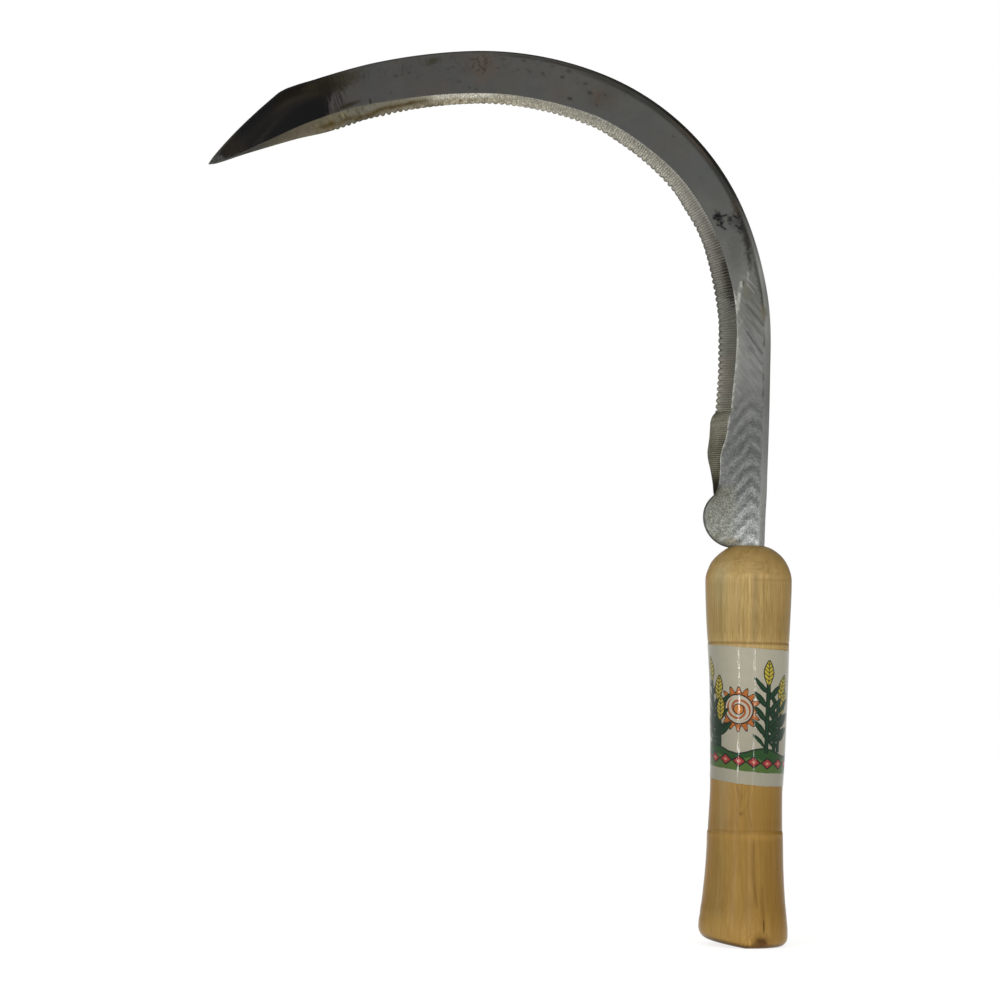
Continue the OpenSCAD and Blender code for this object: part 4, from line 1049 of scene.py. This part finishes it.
for c in (cutter, hole):
    mod_ = handle.modifiers.new("cut", "BOOLEAN")
    mod_.operation, mod_.solver, mod_.object = "DIFFERENCE", "EXACT", c
dg_ = bpy.context.evaluated_depsgraph_get()
done = bpy.data.meshes.new_from_object(handle.evaluated_get(dg_), preserve_all_data_layers=True, depsgraph=dg_)
handle.modifiers.clear()
handle.data = done
for c in (cutter, hole):
    bpy.data.objects.remove(c)

w = Nodes("varnished_wood")
pos = w.object_mm()
x_, y_, z_ = w.xyz(pos)
# grain runs up the handle, a little out of true
gx = w.add(x_, w.mul(z_, 0.035))
g_vec = w.combine(w.mul(gx, 0.85), w.mul(y_, 0.85), w.mul(z_, 0.028))
broad = w.noise(g_vec, 0.42, 3.0, 0.55, 0.4)
mid = w.noise(g_vec, 1.5, 3.0, 0.6, 0.2)
f_vec = w.combine(w.mul(gx, 3.6), w.mul(y_, 3.6), w.mul(z_, 0.11))
finew = w.noise(f_vec, 1.0, 3.0, 0.7)
p_vec = w.combine(w.mul(gx, 5.0), w.mul(y_, 5.0), w.mul(z_, 0.30))
pores = w.between(w.noise(p_vec, 1.0, 1.0, 0.5), 0.30, 0.37, 1.0, 0.0)
ring_n = w.math("SINE", w.mul(w.add(w.mul(gx, 0.75), w.mul(broad, 5.5)), 1.9))
ring_m = w.between(ring_n, 0.55, 1.0)
hair = w.noise(w.combine(w.mul(gx, 2.7), w.mul(y_, 2.7), w.mul(z_, 0.05)), 1.0, 2.0, 0.5)
top_grain = w.mul(w.between(z_, 98.0, 114.0, 0.18, 1.0), w.between(z_, 138.0, 146.0, 1.0, 0.15))
cloud = w.noise(w.combine(w.mul(x_, 0.06), w.mul(y_, 0.06), w.mul(z_, 0.022)), 1.0, 2.0, 0.5)
c0 = w.mix(w.between(broad, 0.32, 0.68), (0.435, 0.325, 0.165, 1), (0.50, 0.385, 0.215, 1))
c1 = w.mix(w.mul(w.between(mid, 0.45, 0.72), 0.35), c0, (0.37, 0.262, 0.125, 1))
c2 = w.mix(w.mul(ring_m, 0.14), c1, (0.345, 0.235, 0.108, 1))
grainy = w.between(z_, 45.0, 112.0, 0.45, 1.15)
c3 = w.mix(w.mul(pores, w.mul(grainy, 0.20)), c2, (0.24, 0.16, 0.072, 1))
c4 = w.mix(w.mul(w.between(finew, 0.35, 0.75, 0.0, 0.32), grainy), c3, (0.63, 0.52, 0.32, 1))
# light hairlines on the top: grain, partly painted varnish highlight
c4 = w.mix(w.mul(w.between(hair, 0.54, 0.66, 0.0, 0.42), top_grain), c4, (0.66, 0.55, 0.34, 1))
c4 = w.mix(w.mul(w.between(hair, 0.46, 0.34, 0.0, 0.36), top_grain), c4, (0.315, 0.225, 0.105, 1))
c5 = w.mix(w.between(cloud, 0.4, 0.7, 0.0, 0.2), c4, (0.43, 0.30, 0.14, 1))
wt = w.attr("wood_tint")["Color"]
low_streak = w.mul(w.between(mid, 0.46, 0.66), w.between(z_, 62.0, 30.0, 0.0, 0.30))
c6 = w.mix(w.mul(low_streak, 0.6), c5, (0.29, 0.187, 0.095, 1))
wc = w.mix(1.0, c6, wt, mode="MULTIPLY")
w.set(Base_Color=wc, Metallic=0.0)
w.put(w.bsdf.inputs["Roughness"], w.between(finew, 0.3, 0.7, 0.40, 0.52))
# the varnish: clear, a little amber, deeper where it is seen aslant
w.bsdf.inputs["Coat Weight"].default_value = 1.0
w.bsdf.inputs["Coat Roughness"].default_value = 0.28
w.bsdf.inputs["Coat IOR"].default_value = 1.18
w.bsdf.inputs["Coat Tint"].default_value = (0.80, 0.72, 0.50, 1)
w.bsdf.inputs["Specular IOR Level"].default_value = 0.06
hgt = w.add(w.mul(finew, 0.6), w.add(w.mul(mid, 0.5), w.mul(pores, -0.5)))
w.link(w.bump(hgt, 0.22, 0.00008), w.bsdf.inputs["Normal"])
for slot_ in range(max(1, len(handle.data.materials))):
    if slot_ < len(handle.data.materials):
        handle.data.materials[slot_] = w.mat
    else:
        handle.data.materials.append(w.mat)
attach(handle, "root")
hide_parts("handle")

# -------------------------------------------------------------------- label
HALF = math.pi
U0, U1 = math.radians(-186), math.radians(192)
nu, nv = 560, 96
uu = np.linspace(U0, U1, nu)
vv = np.linspace(0, 1, nv)
ztop = 111.15 - 1.0 * np.sin(uu) + 0.08 * np.cos(uu)
zbot = 61.3 - 1.3 * np.sin(uu) - 0.8 * np.cos(uu)
wob = 0.05 * np.sin(uu * 9 + 1.0) + 0.04 * np.sin(uu * 23)
LZ = (zbot + wob)[None] + (ztop - zbot)[None] * vv[:, None]
UU = uu[None].repeat(nv, 0)
over = np.clip((UU - math.radians(168)) / math.radians(3.0), 0, 1)
over = over * over * (3 - 2 * over)
ripple = 0.05 * (fractal(UU * 5.0, LZ * 0.07, 81) - 0.5) + 0.03 * (fractal(UU * 3.0, LZ * 0.3, 85) - 0.5)
LR = hand_r(LZ) + 0.03 + 0.16 * over + 0.03 + ripple
OUT = 0.12


def wrap_pts(extra_r):
    r = LR + extra_r
    return np.stack([bow(LZ) + r * np.sin(UU), -r * np.cos(UU), LZ], -1)


outer_p, inner_p = wrap_pts(OUT), wrap_pts(0.0)
lv = np.vstack([outer_p.reshape(-1, 3), inner_p.reshape(-1, 3)])
lf = grid_faces(nv, nu)
off = nv * nu
lf += [[off + i for i in f[::-1]] for f in grid_faces(nv, nu)]
for j in range(nu - 1):
    lf.append([j + 1, j, off + j, off + j + 1])
    a = (nv - 1) * nu
    lf.append([a + j, a + j + 1, off + a + j + 1, off + a + j])
for i in range(nv - 1):
    lf.append([i * nu, (i + 1) * nu, off + (i + 1) * nu, off + i * nu])
    b = nu - 1
    lf.append([(i + 1) * nu + b, i * nu + b, off + i * nu + b, off + (i + 1) * nu + b])
luv = np.stack([UU * 14.1, (vv[:, None] * 50.0).repeat(nu, 1)], -1).reshape(-1, 2)
luv = np.vstack([luv, luv])
side = np.r_[np.ones(off), np.zeros(off)]
label = make_mesh("sickle_label", lv, lf, uv={"print": luv}, colours={"side": np.c_[side, side, side, np.ones(2 * off)]})
label.data.set_sharp_from_angle(angle=math.radians(40))

L = Nodes("printed_film")
uvv = L.uv("print")
u_raw, v_, _ = L.xyz(uvv)
jit = L.noise(uvv, 0.9, 2.0, 0.5)
u_s = L.add(u_raw, L.mul(L.sub(jit, 0.5), 0.25))
v_s = L.add(v_, L.mul(L.sub(jit, 0.5), 0.25))
PERIOD = 44.3


def wrap_u(centre):
    """Distance along the wrap from a motif that comes twice round it."""
    t = L.sub(u_s, centre)
    return L.sub(L.math("WRAP", t, PERIOD / 2, -PERIOD / 2), 0.0)


def inside(d, soft=0.12):
    """1 where a signed distance is under 0."""
    return L.between(d, soft, -soft)


def band_mask(v, lo, hi, soft=0.12):
    return L.mul(L.between(v, lo - soft, lo + soft), L.between(v, hi + soft, hi - soft))


paper = L.mix(L.noise(uvv, 0.35, 3.0, 0.6), (0.275, 0.257, 0.192, 1), (0.31, 0.292, 0.224, 1))
art = paper

# hills of two greens along the bottom
hill = L.add(L.mul(L.math("SINE", L.mul(u_s, 2 * math.pi / PERIOD * 2)), 1.3), 12.3)
hill2 = L.add(L.mul(L.math("SINE", L.add(L.mul(u_s, 2 * math.pi / PERIOD * 3), 1.2)), 0.9), 9.2)
furrow = L.math("SINE", L.mul(L.add(L.mul(v_s, 1.0), L.mul(hill, -0.55)), 5.2))
art = L.mix(L.mul(L.between(v_s, 4.7, 4.95), L.between(L.sub(hill, v_s), -0.12, 0.12)), art, (0.012, 0.052, 0.009, 1))
art = L.mix(L.mul(L.between(v_s, 4.7, 4.95), L.between(L.sub(hill2, v_s), -0.12, 0.12)), art, (0.056, 0.108, 0.019, 1))
art = L.mix(L.mul(L.between(L.math("ABSOLUTE", L.sub(hill, v_s)), 0.42, 0.24), 0.95), art, (0.003, 0.012, 0.004, 1))

# sun disc with rays
mu = wrap_u(-4.6)
mv = L.sub(v_s, 27.2)
rad = L.math("SQRT", L.add(L.mul(mu, mu), L.mul(mv, mv)))
angle = L.math("ARCTAN2", mv, mu)
ray = L.math("COSINE", L.mul(angle, 16.0))
ray_r = L.add(6.9, L.mul(ray, 1.15))
art = L.mix(inside(L.sub(rad, L.add(ray_r, 0.55))), art, (0.004, 0.003, 0.002, 1))
art = L.mix(inside(L.sub(rad, ray_r)), art, (0.30, 0.088, 0.014, 1))
art = L.mix(inside(L.sub(rad, 5.6)), art, (0.005, 0.004, 0.003, 1))
art = L.mix(inside(L.sub(rad, 5.1)), art, (0.33, 0.30, 0.235, 1))
swirl_n = L.math("SINE", L.add(L.mul(rad, 3.4), L.mul(angle, 2.0)))
art = L.mix(L.mul(inside(L.sub(rad, 4.5)), L.between(swirl_n, 0.05, 0.35)), art, (0.24, 0.062, 0.012, 1))
art = L.mix(inside(L.sub(rad, 1.7)), art, (0.36, 0.13, 0.02, 1))
art = L.mix(L.between(L.math("ABSOLUTE", L.sub(rad, 1.9)), 0.28, 0.12), art, (0.02, 0.012, 0.008, 1))


def ears(centre, lean, v0, v1, flip):
    """A stalk with paired leaves below and a ripe ear above."""
    global art
    du = wrap_u(centre)
    t = L.sub(v_s, v0)
    curve = L.mul(L.mul(t, t), lean / (v1 - v0) ** 2)
    du = L.sub(du, curve)
    stem = L.mul(L.between(L.math("ABSOLUTE", du), 0.55, 0.35), band_mask(v_s, v0, v1 - 3.0))
    # leaves: slanted lens shapes, one pair every 4.6 mm
    for side_ in (1, -1):
        lu = L.mul(du, side_)
        vv_ = L.add(v_s, L.mul(lu, -0.9))
        cell = L.sub(L.mul(L.math("FRACT", L.math("DIVIDE", L.sub(vv_, v0 + (1.6 if side_ > 0 else 3.9)), 5.2)), 5.2), 2.6)
        width = L.mul(L.math("SINE", L.mul(L.math("DIVIDE", lu, 5.4), math.pi)), 1.2)
        leaf = L.mul(L.between(L.sub(width, L.math("ABSOLUTE", cell)), -0.1, 0.12), L.mul(L.between(lu, 0.0, 0.2), L.between(lu, 5.4, 5.2)))
        leaf = L.mul(leaf, band_mask(vv_, v0 + 1.0, v1 - 10.5))
        vein = L.between(L.math("ABSOLUTE", cell), 0.22, 0.08)
        rim_ = L.mul(L.between(L.sub(L.add(width, 0.42), L.math("ABSOLUTE", cell)), -0.1, 0.12), L.mul(L.between(lu, 0.0, 0.2), L.between(lu, 5.5, 5.3)))
        art = L.mix(L.mul(rim_, band_mask(vv_, v0 + 0.9, v1 - 10.4)), art, (0.002, 0.010, 0.004, 1))
        art = L.mix(leaf, art, (0.001, 0.021, 0.005, 1))
        art = L.mix(L.mul(L.mul(leaf, vein), 0.7), art, (0.014, 0.060, 0.020, 1))
    art = L.mix(L.mul(L.between(L.math("ABSOLUTE", du), 0.98, 0.78), band_mask(v_s, v0, v1 - 3.0)), art, (0.002, 0.010, 0.004, 1))
    art = L.mix(stem, art, (0.001, 0.027, 0.007, 1))
    # ear: two rows of grains
    ev = L.sub(v_s, v1 - 9.0)
    shape = L.mul(L.math("SINE", L.mul(L.math("DIVIDE", ev, 9.6), math.pi)), 1.75)
    ear = L.mul(L.between(L.sub(shape, L.math("ABSOLUTE", du)), -0.12, 0.12), band_mask(ev, 0.0, 9.6))
    art = L.mix(L.mul(L.between(L.sub(L.add(shape, 0.42), L.math("ABSOLUTE", du)), -0.1, 0.1), band_mask(ev, 0.0, 9.6)), art, (0.003, 0.010, 0.003, 1))
    art = L.mix(ear, art, (0.34, 0.27, 0.025, 1))
    gr = L.math("SINE", L.mul(L.sub(ev, L.mul(L.math("ABSOLUTE", du), 0.8)), 2 * math.pi / 1.5))
    art = L.mix(L.mul(ear, L.between(gr, 0.45, 0.8)), art, (0.020, 0.026, 0.006, 1))
    art = L.mix(L.mul(ear, L.between(L.math("ABSOLUTE", du), 0.2, 0.08)), art, (0.020, 0.026, 0.006, 1))


ears(11.6, 3.2, 12.5, 35.0, 1)
ears(9.6, 4.6, 12.5, 40.5, 1)
ears(6.2, 0.4, 12.0, 45.5, 1)
ears(-16.4, -1.6, 12.0, 45.0, -1)
ears(-14.4, 1.8, 12.5, 38.5, -1)
ears(-12.6, 0.6, 12.8, 31.0, 1)

# row of red lozenges on the hills
lz = L.sub(L.mul(L.math("FRACT", L.math("DIVIDE", L.add(u_s, 1.4), PERIOD / 8)), PERIOD / 8), PERIOD / 16)
lv_ = L.sub(v_s, 8.3)
dia = L.add(L.math("DIVIDE", L.math("ABSOLUTE", lz), 2.35), L.math("DIVIDE", L.math("ABSOLUTE", lv_), 1.75))
art = L.mix(L.between(dia, 1.34, 1.22), art, (0.003, 0.004, 0.003, 1))
art = L.mix(L.between(dia, 0.98, 0.88), art, (0.26, 0.026, 0.022, 1))
art = L.mix(L.between(dia, 0.42, 0.32), art, (0.46, 0.17, 0.13, 1))
sidec = L.attr("side")["Fac"]
film_c = L.mix(sidec, (0.24, 0.22, 0.175, 1), art)
ink_var = L.noise(uvv, 6.0, 2.0, 0.6)
# painted shade: the film darker towards the bottom and towards the left
painted_shade_gradient = L.mul(L.between(v_, 0.0, 50.0, 0.88, 1.08), L.between(L.xyz(L.object_mm())[0], -15.0, -2.0, 0.76, 1.0))
film_c = L.vmath("SCALE", film_c, L.mul(painted_shade_gradient, L.add(0.93, L.mul(ink_var, 0.14))))
L.set(Base_Color=film_c, Metallic=0.0)
L.bsdf.inputs["Roughness"].default_value = 0.5
L.bsdf.inputs["Specular IOR Level"].default_value = 0.0
L.bsdf.inputs["Coat IOR"].default_value = 1.30
L.bsdf.inputs["Coat Weight"].default_value = 1.0
L.bsdf.inputs["Coat Roughness"].default_value = 0.06
crease_v = L.combine(L.mul(u_raw, 0.55), L.mul(v_, 0.10), 0.0)
crease = L.noise(crease_v, 1.0, 3.0, 0.55, 0.6)
small = L.noise(L.combine(L.mul(u_raw, 1.6), L.mul(v_, 0.7), 0.0), 1.0, 2.0, 0.5)
L.link(L.bump(L.add(L.mul(crease, 1.0), L.mul(small, 0.10)), 0.22, 0.0003), L.bsdf.inputs["Coat Normal"])
L.link(L.bump(L.add(L.mul(crease, 1.0), L.mul(small, 0.18)), 0.25, 0.0003), L.bsdf.inputs["Normal"])
label.data.materials.append(L.mat)
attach(label, "root")
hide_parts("label")

# -------------------------------------------------------------------- resin
rz = Nodes("set_resin")
pos = rz.object_mm()
rn = rz.noise(pos, 0.6, 4.0, 0.6)
bub = rz.voronoi(pos, 0.9)
rz.set(Base_Color=rz.mix(rn, (0.10, 0.075, 0.03, 1), (0.21, 0.16, 0.075, 1)), Metallic=0.0)
rz.put(rz.bsdf.inputs["Roughness"], rz.between(rn, 0.3, 0.7, 0.3, 0.5))
rz.link(rz.bump(rz.between(bub, 0.0, 0.25), 0.3, 0.0001), rz.bsdf.inputs["Normal"])
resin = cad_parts["tang_resin"] if "tang_resin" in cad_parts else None
resin_ob = resin if isinstance(resin, bpy.types.Object) else bpy.data.objects.get("tang_resin")
if len(resin_ob.data.materials):
    for i in range(len(resin_ob.data.materials)):
        resin_ob.data.materials[i] = rz.mat
else:
    resin_ob.data.materials.append(rz.mat)

# --------------------------------------------------------- floor and light
bpy.ops.mesh.primitive_plane_add(size=30.0, location=(0, 0, 0))
floor = bpy.context.active_object
floor.name = "floor"
fl = Nodes("floor_white")
fl.set(Base_Color=(0.40, 0.40, 0.40, 1))
fl.bsdf.inputs["Roughness"].default_value = 0.9
fl.bsdf.inputs["Emission Color"].default_value = (1, 1, 1, 1)
fl.bsdf.inputs["Emission Strength"].default_value = 0.80
floor.data.materials.append(fl.mat)

world = bpy.data.worlds.new("studio")
bpy.context.scene.world = world
world.use_nodes = True
nt = world.node_tree
nt.nodes.clear()
w_out = nt.nodes.new("ShaderNodeOutputWorld")
seen = nt.nodes.new("ShaderNodeBackground")
seen.inputs["Color"].default_value = (1, 1, 1, 1)
seen.inputs["Strength"].default_value = 1.0
room = nt.nodes.new("ShaderNodeBackground")
room.inputs["Color"].default_value = (1.0, 0.995, 0.985, 1)
pick = nt.nodes.new("ShaderNodeMixShader")
path_ = nt.nodes.new("ShaderNodeLightPath")
tc_ = nt.nodes.new("ShaderNodeTexCoord")
xyz_ = nt.nodes.new("ShaderNodeSeparateXYZ")
nt.links.new(tc_.outputs["Generated"], xyz_.inputs[0])


def wmath(op, a, b, clamp=False):
    n = nt.nodes.new("ShaderNodeMath")
    n.operation, n.use_clamp = op, clamp
    for sck, v in zip(n.inputs, (a, b)):
        if isinstance(v, bpy.types.NodeSocket):
            nt.links.new(v, sck)
        else:
            sck.default_value = v
    return n.outputs[0]


# the room is bright on the side of the camera and above, and dimmer to the right and behind
toward = wmath("MAXIMUM", wmath("MULTIPLY", xyz_.outputs[1], -1.0), 0.0)
e_ = wmath("ADD", 0.29, wmath("MULTIPLY", toward, 0.62))
e_ = wmath("ADD", e_, wmath("MULTIPLY", xyz_.outputs[0], -0.18))
e_ = wmath("ADD", e_, wmath("MULTIPLY", xyz_.outputs[2], 0.12))
nt.links.new(e_, room.inputs["Strength"])
nt.links.new(path_.outputs["Is Camera Ray"], pick.inputs[0])
nt.links.new(room.outputs[0], pick.inputs[1])
nt.links.new(seen.outputs[0], pick.inputs[2])
nt.links.new(pick.outputs[0], w_out.inputs["Surface"])


def strip(name, az, el, dist, wide, high, radiance, target=(0.0, 0.0, 0.12)):
    """A tall soft light; az is measured from -Y towards +X."""
    d = bpy.data.lights.new(name, "AREA")
    d.shape = "RECTANGLE"
    d.size, d.size_y = wide, high
    d.energy = radiance * math.pi * wide * high
    o = bpy.data.objects.new(name, d)
    bpy.context.scene.collection.objects.link(o)
    a, e = math.radians(az), math.radians(el)
    to = Vector((math.sin(a) * math.cos(e), -math.cos(a) * math.cos(e), math.sin(e)))
    o.location = Vector(target) + to * dist
    o.rotation_mode = "QUATERNION"
    o.rotation_quaternion = (-to).to_track_quat("-Z", "Y")
    return o


strip("strip_left", -34.7, 3.0, 1.25, 0.055, 1.3, 5.0)
# two slender lights close by, which the glossy film shows as bright lines
near = [strip("line_left", -32.0, 3.0, 0.6, 0.018, 0.30, 36.0), strip("line_right", 14.5, 3.0, 0.42, 0.008, 0.29, 26.0)]
for o_ in near:
    o_.visible_camera = False
strip("strip_right", 8.0, 8.0, 1.6, 0.085, 1.3, 8.5)

scene = bpy.context.scene
scene.view_settings.view_transform = "Standard"
scene.view_settings.look = "None"
scene.view_settings.exposure = 0.0
scene.view_settings.gamma = 1.0
